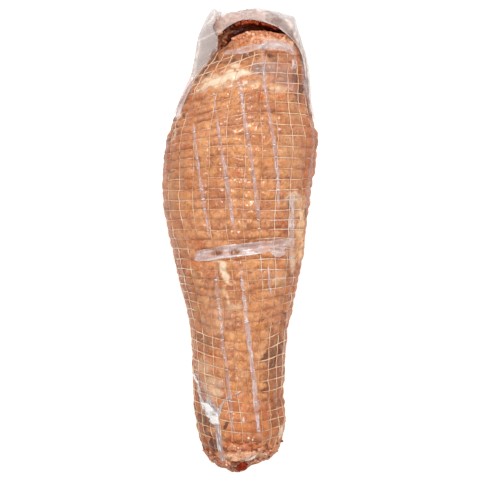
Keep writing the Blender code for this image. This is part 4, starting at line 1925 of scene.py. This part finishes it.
@dataclass
class ClingFilm:
    """Folds of film that lie over the netted meat."""

    surface: Surface
    grain: Grain
    thickness: float = 0.16
    step: float = 1.0
    least_rows: int = 12
    across: int = 9
    seed_step: float = 7.0
    ragged_most: float = 6.0
    ragged_size: float = 7.0
    reach: int = 4
    bridge_share: float = 0.75
    bridge_blur: float = 0.6
    lift: float = 0.35
    dome_sharpness: float = 2.5
    dome_ends: float = 0.08
    dome_least: float = 0.3
    wrinkle: Varied = Varied(1.0, 0.35, 2.6, layers=2, shift=9.0)
    streak_size: Size = (7.0, 0.9, 5.0)
    streak_edge: Span = (0.10, 0.65)
    streak_white: float = 0.55
    spots: Spots = Spots(2.4, 0.35, 0.75, layers=2, shift=40.0)
    spot_white: float = 0.45
    edge_reach: Span = (1.1, 0.2)
    edge_streaks: Span = (-0.3, 0.3)
    edge_white: float = 0.30
    dull: Spots = Spots(6.0, 0.2, 0.6, layers=2, shift=70.0)
    dull_most: float = 0.5
    thin: Spots = Spots(11.0, 0.0, 0.6, layers=2, shift=70.0)
    thin_most: float = 0.45
    cover_middle: float = 0.9
    cover_spread: float = 0.35
    gap_most: float = 0.85

    def laid(self, fold: Strip | Web) -> Laid:
        """Lays out a fold in the picture.

        Args:
            fold: The fold.

        Returns:
            Its layout.
        """
        first, second = fold.edges()
        rows = max(self.least_rows, int(path_length(first) / self.step))
        first, second = resample(first, rows), resample(second, rows)
        share = np.linspace(0.0, 1.0, self.across)[None, :, None]
        plan = first[:, None] * (1 - share) + second[:, None] * share
        shape = plan.shape[:2]
        seed = np.full(shape, self.seed_step * sum(map(ord, fold.name)))
        seeded = np.concatenate([plan, seed[..., None]], axis=2)
        width = np.linalg.norm(second - first, axis=1)[:, None]
        outwards = unit(second - first)[:, None] * (2 * share - 1)
        ragged = fold.ragged * self.grain.layered(seeded, self.ragged_size)
        ragged = ragged * np.minimum(width, self.ragged_most)
        run = np.linspace(0, 1, rows)[:, None]
        along = np.broadcast_to(run * path_length(first), shape)
        across = np.broadcast_to(share[..., 0] * width, shape)
        plan = plan + outwards * ragged[..., None]
        return Laid(plan, seeded, run, share[..., 0], along, across, width)

    @staticmethod
    def filled(heights: Array) -> Array:
        """Fills the places beside the roast from their row.

        Args:
            heights: The heights, with nan beside the roast, which are changed.

        Returns:
            The same heights.
        """
        for row in heights:
            known = ~np.isnan(row)
            if known.any():
                row[~known] = row[known].min()
        known = ~np.isnan(heights).any(axis=1)
        index = np.arange(len(heights))
        for column in heights.T:
            column[:] = np.interp(index, index[known], column[known])
        return heights

    def bridged(self, heights: Array) -> Array:
        """Spans the grooves from one bulge to the next.

        Args:
            heights: The heights under the film.

        Returns:
            The film's heights.
        """
        padded = np.pad(heights, [(self.reach, self.reach), (0, 0)], mode="edge")
        highest = np.max([padded[i : i + len(heights)] for i in range(2 * self.reach + 1)], axis=0)
        spanned = self.bridge_share * highest + (1 - self.bridge_share) * heights
        return blurred(spanned, self.bridge_blur * self.reach)

    def heights(self, fold: Strip | Web, laid: Laid) -> Array:
        """How high a fold lies.

        Args:
            fold: The fold.
            laid: Its layout.

        Returns:
            The height of each of its points.
        """
        heights = self.bridged(self.filled(self.surface.height(laid.plan[..., 0], laid.plan[..., 1])))
        dome = 1 - np.abs(2 * laid.share - 1) ** self.dome_sharpness
        ends = self.dome_least + (1 - self.dome_least) * laid.faded(self.dome_ends)
        return heights + (self.lift + fold.rise * dome * ends * self.wrinkle.over(self.grain, laid.seeded))

    def looks(self, fold: Strip | Web, laid: Laid) -> tuple[Array, Array]:
        """How white a fold is and how much it covers.

        Args:
            fold: The fold.
            laid: Its layout.

        Returns:
            The whiteness and the cover of each of its points.
        """
        grain, seeded = self.grain, laid.seeded
        streaked = np.stack([laid.along, laid.across, seeded[..., 2]], axis=2)
        streak = grain.layered(streaked, self.streak_size, 2, shift=40.0)
        from_edge = np.minimum(laid.across, laid.width - laid.across)
        white = fold.whiteness + self.streak_white * smooth_step(*self.streak_edge, streak)
        white += self.spot_white * self.spots.on(grain, seeded)
        at_edge = self.edge_white * smooth_step(*self.edge_reach, from_edge)
        white += at_edge * smooth_step(*self.edge_streaks, streak)
        white -= self.dull_most * self.dull.on(grain, seeded)
        cover = laid.faded(fold.soft) * fold.cover * (1 - self.thin_most * self.thin.on(grain, seeded))
        cover = cover * (self.cover_middle + self.cover_spread * streak)
        # Over the gaps of painted shade the film is less white and thinner.
        gap = strongest(GAPS, laid.plan[..., 0], laid.plan[..., 1])
        return np.clip(white - gap, 0.0, 1.0), cover * (1 - self.gap_most * gap)

    def sheet(self, fold: Strip | Web) -> tuple[Array, Array, Array]:
        """A fold over the skin.

        Args:
            fold: The fold.

        Returns:
            Its points in rows along and columns across, and how white it is and how much it
            covers at each of them.
        """
        laid = self.laid(fold)
        sheet = from_picture(laid.plan[..., 0], laid.plan[..., 1], self.heights(fold, laid))
        return sheet, *self.looks(fold, laid)

    def build(self, fold: Strip | Web, finish: Material) -> Piece:
        """Makes one fold of film.

        Args:
            fold: The fold.
            finish: The film's material.

        Returns:
            The piece.
        """
        sheet, white, cover = self.sheet(fold)
        marks = {"fold": np.tile(white.ravel(), 2), "cover": np.tile(cover.ravel(), 2)}
        return new_mesh(fold.name, *closed_shell(sheet, self.thickness), finish, marks)


@dataclass
class Knots:
    """White marks where the strips cross the rows: thread showing through the film, whitened as a painted
    highlight.
    """

    lines: NetLines
    spot: Spot
    film: ClingFilm
    grain: Grain
    length: float = 4.0
    length_least: float = 0.70
    length_spread: float = 0.6
    radius: float = 0.48
    radius_spread: float = 0.5
    thinnest: float = 0.04
    points_each: int = 7
    strength_size: float = 11.0
    weakest: float = -0.10
    tilt: float = 1.3
    tilt_size: float = 7.0
    lift: float = 0.15
    arch: float = 0.5
    lumps: Varied = Varied(1.0, 0.35, 2.0, layers=1)
    lumps_finer: float = 3.0

    def crossings(self, strip: Strip) -> list[Array]:
        """Where a strip's middle crosses the rows of threads.

        Args:
            strip: The strip.

        Returns:
            The points.
        """
        middle = self.film.sheet(strip)[0][:, self.film.across // 2]
        px, py = to_picture(middle)
        rows = np.array([self.lines.row[self.spot.nearest(x, y)] for x, y in zip(px, py)])
        found = []
        for number in range(int(np.floor(rows.min())), int(np.ceil(rows.max())) + 1):
            crossing = np.nonzero(np.diff(np.sign(rows - number)))[0]
            if len(crossing):
                found.append(middle[crossing[0]])
        return found

    def knot(self, at: Array, strength: float) -> tuple[Array, list]:
        """One knot.

        Args:
            at: Its middle.
            strength: How strong it is, from -1 to 1.

        Returns:
            Its points and faces.
        """
        half = self.length / 2 * (self.length_least + self.length_spread * strength)
        across = np.linspace(-1.0, 1.0, self.points_each)
        tilt = self.tilt * self.grain.at(at, self.tilt_size, shift=130.0)
        height = at[2] + self.lift - self.arch * across**2
        place = np.stack([at[0] + half * across, at[1] + tilt * across, height], 1)
        radius = self.radius * (1 + self.radius_spread * strength)
        radius = radius * np.sqrt(np.maximum(1 - across**2, self.thinnest))
        radius = radius * self.lumps.over(self.grain, place * self.lumps_finer)
        return tube(place, np.tile(UP, (self.points_each, 1)), radius, closed=False)

    def build(self, strips: tuple[Strip, ...], finish: Material) -> Piece:
        """Makes all the knots as one piece.

        Args:
            strips: The strips that they lie on.
            finish: Their material.

        Returns:
            The piece.
        """
        places = [at for strip in strips if strip.knots for at in self.crossings(strip)]
        strengths = [self.grain.at(at, self.strength_size, shift=77.0) for at in places]
        shown = [pair for pair in zip(places, strengths) if pair[1] >= self.weakest]
        points, faces = joined([self.knot(*pair) for pair in shown])
        full = np.ones(len(points))
        return new_mesh("film_knots", points, faces, finish, {"fold": full, "cover": full})


@dataclass
class Hood:
    """The loose end of the film, standing round the thick end.

    Each row gives x and y of a point on the inner edge and of one on the border.
    """

    form: RoastForm
    grain: Grain
    rows: tuple[Line, ...] = (
        ((-59.5, 134), (-65.5, 121)),
        ((-48.5, 155), (-57, 143)),
        ((-32.5, 176), (-49, 166)),
        ((-20.8, 191.5), (-45, 187)),
        ((-20.4, 203), (-42.5, 202)),
        ((-17.5, 206.8), (-38, 214)),
        ((-13, 210.5), (-33, 223.8)),
        ((-6.5, 214.6), (-26.2, 232.2)),
        ((-1, 217.2), (-20.5, 228.6)),
        ((4, 218.4), (-13, 227.4)),
        ((11, 218.8), (0, 229.8)),
        ((20, 217.2), (17, 232.2)),
        ((30, 214), (35, 229.4)),
        ((36.5, 211.2), (49, 225.4)),
        ((42, 207), (54.6, 223.4)),
        ((48, 202), (58.5, 210.5)),
        ((55, 194), (63, 197)),
        ((60, 183), (67, 181)),
        ((63, 166), (70, 161)),
        ((64.5, 145), (71.5, 140)),
        ((68, 127), (75.5, 120)),
    )
    steps: int = 220
    upper: int = 22
    lower: int = 16
    gap: float = 1.9
    bulge: float = 0.9
    border_height: float = 41.0
    least_rise: float = 4.0
    lowest: float = 4.0
    end_range: Span = (195.0, 215.0)
    end_y: float = 228.8
    end_gap: float = 0.4
    thickness: float = 0.3
    wrinkle: float = 1.1
    fold_lines: tuple[Line, ...] = (
        ((196, 41.5), (201, 39.4), (207.6, 36.4), (213.5, 33.4), (219.3, 30.6)),
        ((213.8, 9), (214, 12), (211.5, 18)),
        ((286, 20), (289, 23), (291, 28)),
        ((294.5, 34), (299, 46), (303, 60), (305, 76)),
        ((199, 42), (196.6, 56), (194.5, 72), (186, 95)),
        ((203, 25), (209, 22), (214, 15)),
    )
    fold_width: float = 1.6
    fold_points: int = 60
    far: float = 99.0
    crumple_size: float = 15.0
    crumple_most: float = 2.2
    deepest: float = 0.05
    border_width: float = 0.34
    border_dark: float = 0.2
    border_cover: float = 0.15
    # Painted highlights along the inner edge and along the folds.
    inner_width: float = 0.07
    inner_white: float = 0.8
    fold_white: float = 0.85
    fold_fade: Varied = Varied(0.95, 0.6, 4.0, 0.55, 1.2, layers=2, shift=80.0)
    # A whiter haze on the upper sheet near the inner edge: partly the film's milkiness and partly painted
    # light.
    haze_patches: Varied = Varied(0.85, 0.8, 4.0, 0.50, 1.3, shift=60.0)
    haze_left: Span = (-24.0, -13.0)
    haze_right: Span = (18.0, 34.0)
    haze_least: float = 0.12
    haze_middle: float = 1.38
    haze_lost_right: float = 1.15
    haze_from_y: Span = (196.0, 210.0)
    haze_turns: Span = (1.4, 0.7)
    haze_white: float = 0.95
    haze_thinner: float = 0.25
    thick_right: float = 0.45
    thick_from_y: Span = (150.0, 190.0)

    def edges(self) -> list[Array]:
        """The hood's two edges.

        Returns:
            The inner edge and the border, evenly along the border.
        """
        table = np.array(self.rows)
        walked = np.linalg.norm(np.diff(table[:, 1], axis=0), axis=1)
        along = running(walked)
        where = np.linspace(0.0, along[-1], self.steps)
        return [
            np.stack([curve_at(where, along, line[:, axis]) for axis in (0, 1)], axis=1)
            for line in (table[:, 0], table[:, 1])
        ]

    def clear(self, points: Array) -> Array:
        """Pushes the film out of the meat where it would cross it.

        Args:
            points: The film's points.

        Returns:
            The points, moved.
        """
        flat = points.reshape(-1, 3)
        end = self.end_gap * smooth_step(*self.end_range, flat[:, 1])
        near = np.minimum(flat[:, 1] - end, self.end_y)
        _, middle_x, half_width, middle_z, half_height = self.form.section(self.form.distance_of(near))
        across, up = flat[:, 0] - middle_x, flat[:, 2] - middle_z
        room = self.gap + self.bulge
        inside = np.hypot(across / (half_width + room), up / (half_height + room))
        push = (inside < 1.0) & (flat[:, 1] - near < 2 * self.end_gap)
        scale = np.where(push, 1 / np.maximum(inside, self.deepest), 1.0)
        moved = np.stack([middle_x + across * scale, flat[:, 1], middle_z + up * scale], axis=1)
        return np.where(push[:, None], moved, flat).reshape(points.shape)

    def folds(self, points: Array) -> Array:
        """How close the film's points are to its folds.

        Args:
            points: The film's points.

        Returns:
            For each point a value from 0 to 1.
        """
        px, py = to_picture(points)
        nearest = np.full(px.shape, self.far)
        for line in self.fold_lines:
            for x, y in resample(line, self.fold_points):
                nearest = np.minimum(nearest, np.hypot(px - x, py - y))
        return np.exp(-((nearest / self.fold_width) ** 2))

    def smooth_sheet(self, turns: Array, over: Array) -> Array:
        """The hood without crumples.

        Args:
            turns: How far each column is from the inner edge to the border, as an angle.
            over: Whether each column belongs to the upper layer.

        Returns:
            Its points in rows along the border and columns from the upper inner edge over the
            border to the lower one.
        """
        inner, border = self.edges()
        distance = self.form.distance_of(inner[:, 1])
        _, middle_x, half_width, middle_z, half_height = self.form.section(distance)
        off = np.clip((inner[:, 0] - middle_x) / half_width, -1.0, 1.0)
        rise = half_height * np.sqrt(1 - off * off)
        top = np.maximum(middle_z + rise + self.gap, self.border_height + self.least_rise)
        low = np.clip(middle_z - rise - self.gap, self.lowest, self.border_height - self.least_rise)
        plan = inner[:, None] + (border - inner)[:, None] * np.sin(turns)[None, :, None]
        side = np.where(over[None], top[:, None], low[:, None])
        height = self.border_height + (side - self.border_height) * np.cos(turns)[None]
        return np.concatenate([plan, height[..., None]], axis=2)

    def looks(self, sheet: Array, folds: Array, turns: Array, over: Array) -> dict[str, Array]:
        """How white the film is and how much it covers: a haze that is partly painted light, brightest over
        the middle of the upper sheet, and painted highlights along the folds and the inner edge.

        Args:
            sheet: The film's points in rows and columns.
            folds: How close they are to its folds.
            turns: How far each column is from the inner edge, as an angle.
            over: Whether each column belongs to the upper layer.

        Returns:
            The whiteness and the cover of each point.
        """
        x, y = sheet[..., 0], sheet[..., 1]
        border_line = np.exp(-(((turns - QUARTER_TURN) / self.border_width) ** 2))[None]
        inner_line = np.where(over, np.exp(-((turns / self.inner_width) ** 2)), 0.0)[None]
        right = smooth_step(*self.haze_right, x)
        # The haze is partly painted light: brightest over the middle, fainter to the left and the right.
        lit = self.haze_least + self.haze_middle * smooth_step(*self.haze_left, x)
        lit = lit - self.haze_lost_right * right
        haze = lit * self.haze_patches.over(self.grain, sheet) * smooth_step(*self.haze_from_y, y)
        haze = haze * over[None] * smooth_step(*self.haze_turns, turns)[None]
        thick = self.thick_right * right * smooth_step(*self.thick_from_y, y) * over[None]
        thick = thick - self.haze_thinner * haze * (1 - right)
        folds = folds * self.fold_fade.over(self.grain, sheet)
        white = self.fold_white * folds * over[None] + self.inner_white * inner_line
        white = white + self.haze_white * haze - self.border_dark * border_line
        return {"fold": np.clip(white, 0.0, 1.0), "cover": 1 + self.border_cover * border_line + thick}

    def build(self, finish: Material) -> Piece:
        """Makes the hood.

        Args:
            finish: The film's material.

        Returns:
            The piece.
        """
        upper, lower = np.linspace(0, QUARTER_TURN, self.upper), np.linspace(QUARTER_TURN, 0, self.lower)
        turns = np.concatenate([upper, lower[1:]])
        over = np.arange(len(turns)) < self.upper
        sheet = self.smooth_sheet(turns, over)
        out = unit(np.cross(np.gradient(sheet, axis=1), np.gradient(sheet, axis=0)))
        calm = np.sin(np.minimum(turns, QUARTER_TURN))[None] * np.cos(turns)[None]
        folds = self.folds(sheet)
        crumple = self.grain.layered(sheet, self.crumple_size) * self.wrinkle * self.crumple_most * calm
        sheet = self.clear(sheet + out * (crumple + folds * self.wrinkle * calm)[..., None])
        marks = self.looks(sheet, folds, turns, over)
        marks = {name: np.tile(values.ravel(), 2) for name, values in marks.items()}
        return new_mesh("film_hood_sheet", *closed_shell(sheet, self.thickness), finish, marks)


@dataclass(frozen=True)
class Scrap:
    """A loose bit of meat: its middle in the picture, its half sizes and, off the skin, its height."""

    x: float
    y: float
    half_x: float
    half_y: float
    half_z: float
    sunk: float = 0.35
    z: float | None = None

    def scraps(self) -> tuple["Scrap", ...]:
        """The scrap itself."""
        return (self,)


@dataclass(frozen=True)
class Heap:
    """A scatter of scraps along a line in the picture."""

    THINNEST = 0.45
    THICKEST = 0.9
    TALL_SHARE = 0.4
    HEIGHT_SPREAD = 2.0

    path: Line
    spread: float
    count: int
    smallest: float
    biggest: float
    seed: int
    z: float | None = None
    flatness: float = 0.8
    sunk: float = 0.35

    def scraps(self) -> tuple[Scrap, ...]:
        """Draws the heap's scraps.

        Returns:
            The scraps.
        """
        draw = np.random.default_rng(self.seed)
        line = resample(self.path, self.count)
        found = []
        for x, y in line + draw.uniform(-self.spread, self.spread, (self.count, 2)):
            size = draw.uniform(self.smallest, self.biggest)
            thin = size * draw.uniform(self.THINNEST, self.THICKEST)
            tall, wide = (size, thin) if draw.random() < self.TALL_SHARE else (thin, size)
            z = None
            if self.z is not None:
                z = self.z + draw.uniform(-self.HEIGHT_SPREAD, self.HEIGHT_SPREAD)
            found.append(Scrap(x, y, wide, tall, thin * self.flatness, self.sunk, z))
        return tuple(found)


RED_SCRAPS = (
    Scrap(231.5, 446.5, 4.5, 3.5, 2.4),
    Scrap(245, 446.5, 4.5, 3.5, 2.4),
    Scrap(261, 448, 4, 3, 2.2),
    Scrap(274.5, 448, 3, 3.5, 2.2),
    Scrap(224, 460.5, 4.5, 3.5, 2.6),
    Heap(((222, 448), (234, 444), (250, 446), (266, 448), (277, 445)), 4, 34, 1.2, 2.9, 61),
    Heap(((207, 450), (214, 457), (223, 462)), 2.2, 9, 1.2, 2.4, 62),
    Heap(((247, 461.5), (262, 457.5), (274, 451)), 1.6, 12, 1.2, 2.4, 63),
    Heap(((205, 450), (210, 456.5), (218, 462), (229, 466)), 1.2, 26, 1, 2, 88),
    Heap(((250, 463.5), (261, 459.5), (271, 453), (277.5, 444)), 1.3, 24, 1, 2, 90),
    Heap(((235, 39.5), (244, 35.5), (256, 34), (270, 34.5), (283, 37)), 1.2, 30, 1.2, 2.6, 64, sunk=-0.1),
    Heap(((234, 43), (248, 40), (262, 42)), 3.6, 44, 1, 2.3, 65, sunk=0.1),
)
PINK_SCRAPS = (
    Scrap(220, 25, 4.5, 7, 6, z=54),
    Heap(((218, 19), (219.5, 25), (221, 31)), 2.6, 34, 1.2, 2.6, 75, z=57),
    Scrap(231.5, 455, 4.5, 3, 3),
    Scrap(236, 459, 5, 2.6, 3.2),
    Scrap(247, 454.5, 5, 3, 3.2),
    Heap(((238, 455), (248, 453), (258, 450)), 2.4, 22, 1.3, 2.8, 71),
    Heap(((223, 461.4), (229, 463.2), (235, 464.6)), 1.5, 12, 1.3, 2.6, 72),
    Heap(((248, 36), (268, 40), (292, 44)), 4.2, 60, 1, 2.2, 73, sunk=0.1),
    Heap(((225, 22), (233, 17), (246, 14), (258, 13.5), (270, 16.5), (282, 22)), 1.3, 44, 1.2, 2.6, 76,
        sunk=0.6),
    Heap(((186, 92), (180, 104)), 2, 5, 1.2, 2.2, 74),
    Heap(((209, 453), (216, 459), (225, 463.5)), 1.6, 12, 0.9, 1.8, 89),
    Heap(((252, 461.5), (263, 457), (272, 450)), 1.6, 12, 0.9, 1.9, 91),
    Heap(((234, 449), (240, 452), (247, 457)), 3, 18, 1.1, 2.4, 92),
)
WALL_SCRAPS = (
    Heap(((220, 48), (222, 40), (226, 33), (233, 29)), 3.6, 80, 1, 2.6, 81, z=50),
)
HOLLOW_SCRAPS = (
    Heap(((236, 24.5), (246, 21.8), (257, 21.8), (266, 24), (277, 28.5)), 1.3, 60, 0.9, 2.2, 86, z=62),
)
BROWN_SCRAPS = (
    Scrap(234.5, 463.5, 4.2, 3, 3.2, sunk=0),
    Heap(((206, 448), (211, 453), (218, 458)), 2, 16, 1, 2.2, 82),
    Heap(((222, 450), (240, 446), (262, 449), (278, 446)), 5, 44, 1, 2.4, 83),
    Heap(((214, 457), (228, 463.5), (250, 461), (268, 455)), 1.8, 20, 1, 2.2, 84),
    Heap(((236, 36), (256, 33), (284, 36)), 2.2, 14, 0.9, 1.9, 85),
)
DARK_SCRAPS = (
    Scrap(240.4, 465.8, 6.2, 4.6, 4.4, sunk=-0.3),
    Heap(((235, 464), (238, 467), (243, 467), (246, 465)), 1.4, 12, 1, 2.2, 87, sunk=-0.9),
)
SCRAP_PIECES = (
    ("red_scraps", RED_SCRAPS, (0.60, 0.150, 0.045), (0.80, 0.37, 0.17), 0.5),
    ("pink_scraps", PINK_SCRAPS, (1.0, 0.60, 0.38), (0.80, 0.27, 0.10), 0.6),
    ("brown_scraps", BROWN_SCRAPS, (0.40, 0.108, 0.036), (0.10, 0.024, 0.010), 0.3),
    ("wall_scraps", WALL_SCRAPS, (0.44, 0.140, 0.048), (0.13, 0.032, 0.013), 0.4),
    ("hollow_scraps", HOLLOW_SCRAPS, (0.80, 0.130, 0.024), (0.16, 0.020, 0.008), 0.4),
    ("dark_scraps", DARK_SCRAPS, (0.33, 0.024, 0.003), (0.12, 0.012, 0.003), 0.10),
)


@dataclass
class Scraps:
    """Ragged bits of meat that stick out of both ends."""

    surface: Surface
    grain: Grain
    detail: int = 3
    resting: float = 34.0
    knobs: Varied = Varied(1.0, 0.30, 2.6)

    def middle(self, scrap: Scrap) -> Array:
        """The middle of a scrap.

        Args:
            scrap: The scrap.

        Returns:
            The point.
        """
        if scrap.z is not None:
            return from_picture(scrap.x, scrap.y, scrap.z)
        top = float(self.surface.height(scrap.x, scrap.y))
        top = self.resting if np.isnan(top) else top
        return from_picture(scrap.x, scrap.y, top - scrap.sunk * scrap.half_z)

    def build(self, name: str, group: tuple[Scrap | Heap, ...], finish: Material) -> Piece:
        """Makes one piece of several scraps.

        Args:
            name: The piece's name.
            group: The scraps and heaps of scraps.
            finish: Their material.

        Returns:
            The piece.
        """
        ball = bmesh.new()
        bmesh.ops.create_icosphere(ball, subdivisions=self.detail, radius=1.0)
        directions = np.array([tuple(vertex.co) for vertex in ball.verts])
        corners = [tuple(vertex.index for vertex in face.verts) for face in ball.faces]
        ball.free()
        bodies = []
        for scrap in (scrap for item in group for scrap in item.scraps()):
            middle = self.middle(scrap)
            shape = directions * (scrap.half_x, scrap.half_y, scrap.half_z)
            knobs = self.knobs.over(self.grain, shape + middle)
            bodies.append((middle + shape * knobs[:, None], corners))
        return new_mesh(name, *joined(bodies), finish)


@dataclass
class Stage:
    """The pale floor, the soft light and the camera straight above."""

    floor_size: float = 6.0
    floor_colour: Colour = (0.95, 0.95, 0.95)
    floor_roughness: float = 0.9
    floor_specular: float = 0.1
    floor_glow: float = 0.55
    sensor: float = 36.0
    clip_end: float = 100.0
    world_strength: float = 0.40
    lamps: tuple[tuple[str, tuple[float, float, float], float, float], ...] = (
        ("key_lamp", (0.10, 0.82, 1.55), 0.40, 16.6),
        ("fill_lamp", (-0.45, -0.58, 1.6), 0.34, 5.7),
        ("side_lamp", (0.85, -0.15, 1.4), 0.34, 1.8),
    )

    def floor(self) -> None:
        """A plain white floor."""
        half = self.floor_size / 2
        corners = [(-half, -half, 0.0), (half, -half, 0.0), (half, half, 0.0), (-half, half, 0.0)]
        finish, bench = new_finish("floor_white")
        bench.dress({
            "Base Color": self.floor_colour,
            "Roughness": self.floor_roughness,
            "Specular IOR Level": self.floor_specular,
            "Emission Color": WHITE,
            "Emission Strength": self.floor_glow,
        })
        new_mesh("floor", np.array(corners) / MM, [(0, 1, 2, 3)], finish, smooth=False)

    @staticmethod
    def lamp(name: str, place: tuple[float, float, float], size: float, power: float) -> None:
        """A square soft lamp that faces the roast.

        Args:
            name: The lamp's name.
            place: Where it stands, in metres.
            size: The length of its side, in metres.
            power: Its power, in watts.
        """
        data = bpy.data.lights.new(name, "AREA")
        data.shape = "SQUARE"
        data.size = size
        data.energy = power
        lamp = new_object(name, data)
        lamp.location = place
        lamp.rotation_euler = (-Vector(place)).to_track_quat("-Z", "Y").to_euler()

    def camera(self) -> None:
        """A camera straight above, its picture's top towards +Y."""
        data = bpy.data.cameras.new("camera")
        data.sensor_width = self.sensor
        data.lens = self.sensor * (CAMERA_HEIGHT - OUTLINE_HEIGHT) / PICTURE_SIDE
        data.clip_end = self.clip_end
        camera = new_object("camera", data)
        camera.location = (0.0, 0.0, CAMERA_HEIGHT * MM)
        bpy.context.scene.camera = camera

    def build(self) -> None:
        """Makes the floor, the lamps, the sky and the camera."""
        self.floor()
        for lamp in self.lamps:
            self.lamp(*lamp)
        world = bpy.data.worlds.new("studio")
        world.use_nodes = True
        sky = Bench(world.node_tree)
        sky.feed(world.node_tree.nodes["Background"], {"Color": WHITE, "Strength": self.world_strength})
        bpy.context.scene.world = world
        bpy.context.scene.view_settings.view_transform = "Standard"
        self.camera()


def hand_over(piece: Piece, node: str) -> None:
    """Hangs a piece on the root body, hides the part that it stands for and logs its faces.

    Args:
        piece: The piece.
        node: The node of the part that it stands for.
    """
    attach(piece, "root")
    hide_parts(node)
    LOG.info("%s: %d faces", piece.name, len(piece.data.polygons))


def main() -> None:
    """Builds the roast, its net, its film and the studio."""
    logging.basicConfig(level=logging.INFO, format="%(name)s %(message)s")
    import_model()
    Stage().build()
    effects = Effects()
    form = RoastForm()
    lines = NetLines(form, Grain(Seed.LINES))
    meat = Meat(form, lines, Grain(Seed.MEAT))
    body = meat.build(MeatFinish().make(effects), HOLLOW_WALL.make(effects))
    hand_over(body, "netted_roast")

    thread = ThreadFinish().make(effects)
    net = Net(form, lines, meat, Grain(Seed.NET))
    for piece in (net.cross_threads(thread), net.long_threads(thread)):
        hand_over(piece, "netted_roast")

    surface = Surface(body)
    film = ClingFilm(surface, Grain(Seed.FILM))
    bunched, strip, band = (finish.make(effects) for finish in (BUNCHED_FILM, STRIP_FILM, BAND_FILM))
    for folds, finish in ((STRIPS, strip), (BANDS, band), (BUNCH, bunched)):
        for fold in folds:
            hand_over(film.build(fold, finish), "netted_roast")
    knots = Knots(lines, Spot(meat), film, Grain(Seed.KNOTS))
    hand_over(knots.build(STRIPS, bunched), "netted_roast")
    hood = Hood(form, Grain(Seed.HOOD))
    hand_over(hood.build(HOOD_FILM.make(effects)), "film_hood")

    scraps = Scraps(surface, Grain(Seed.SCRAPS))
    for name, group, base, blotch, coat in SCRAP_PIECES:
        finish = WetMeatFinish(name, base, blotch, coat, SCRAP_SEED + len(name)).make(effects)
        hand_over(scraps.build(name, group, finish), "netted_roast")


if __name__ == "__main__":
    main()
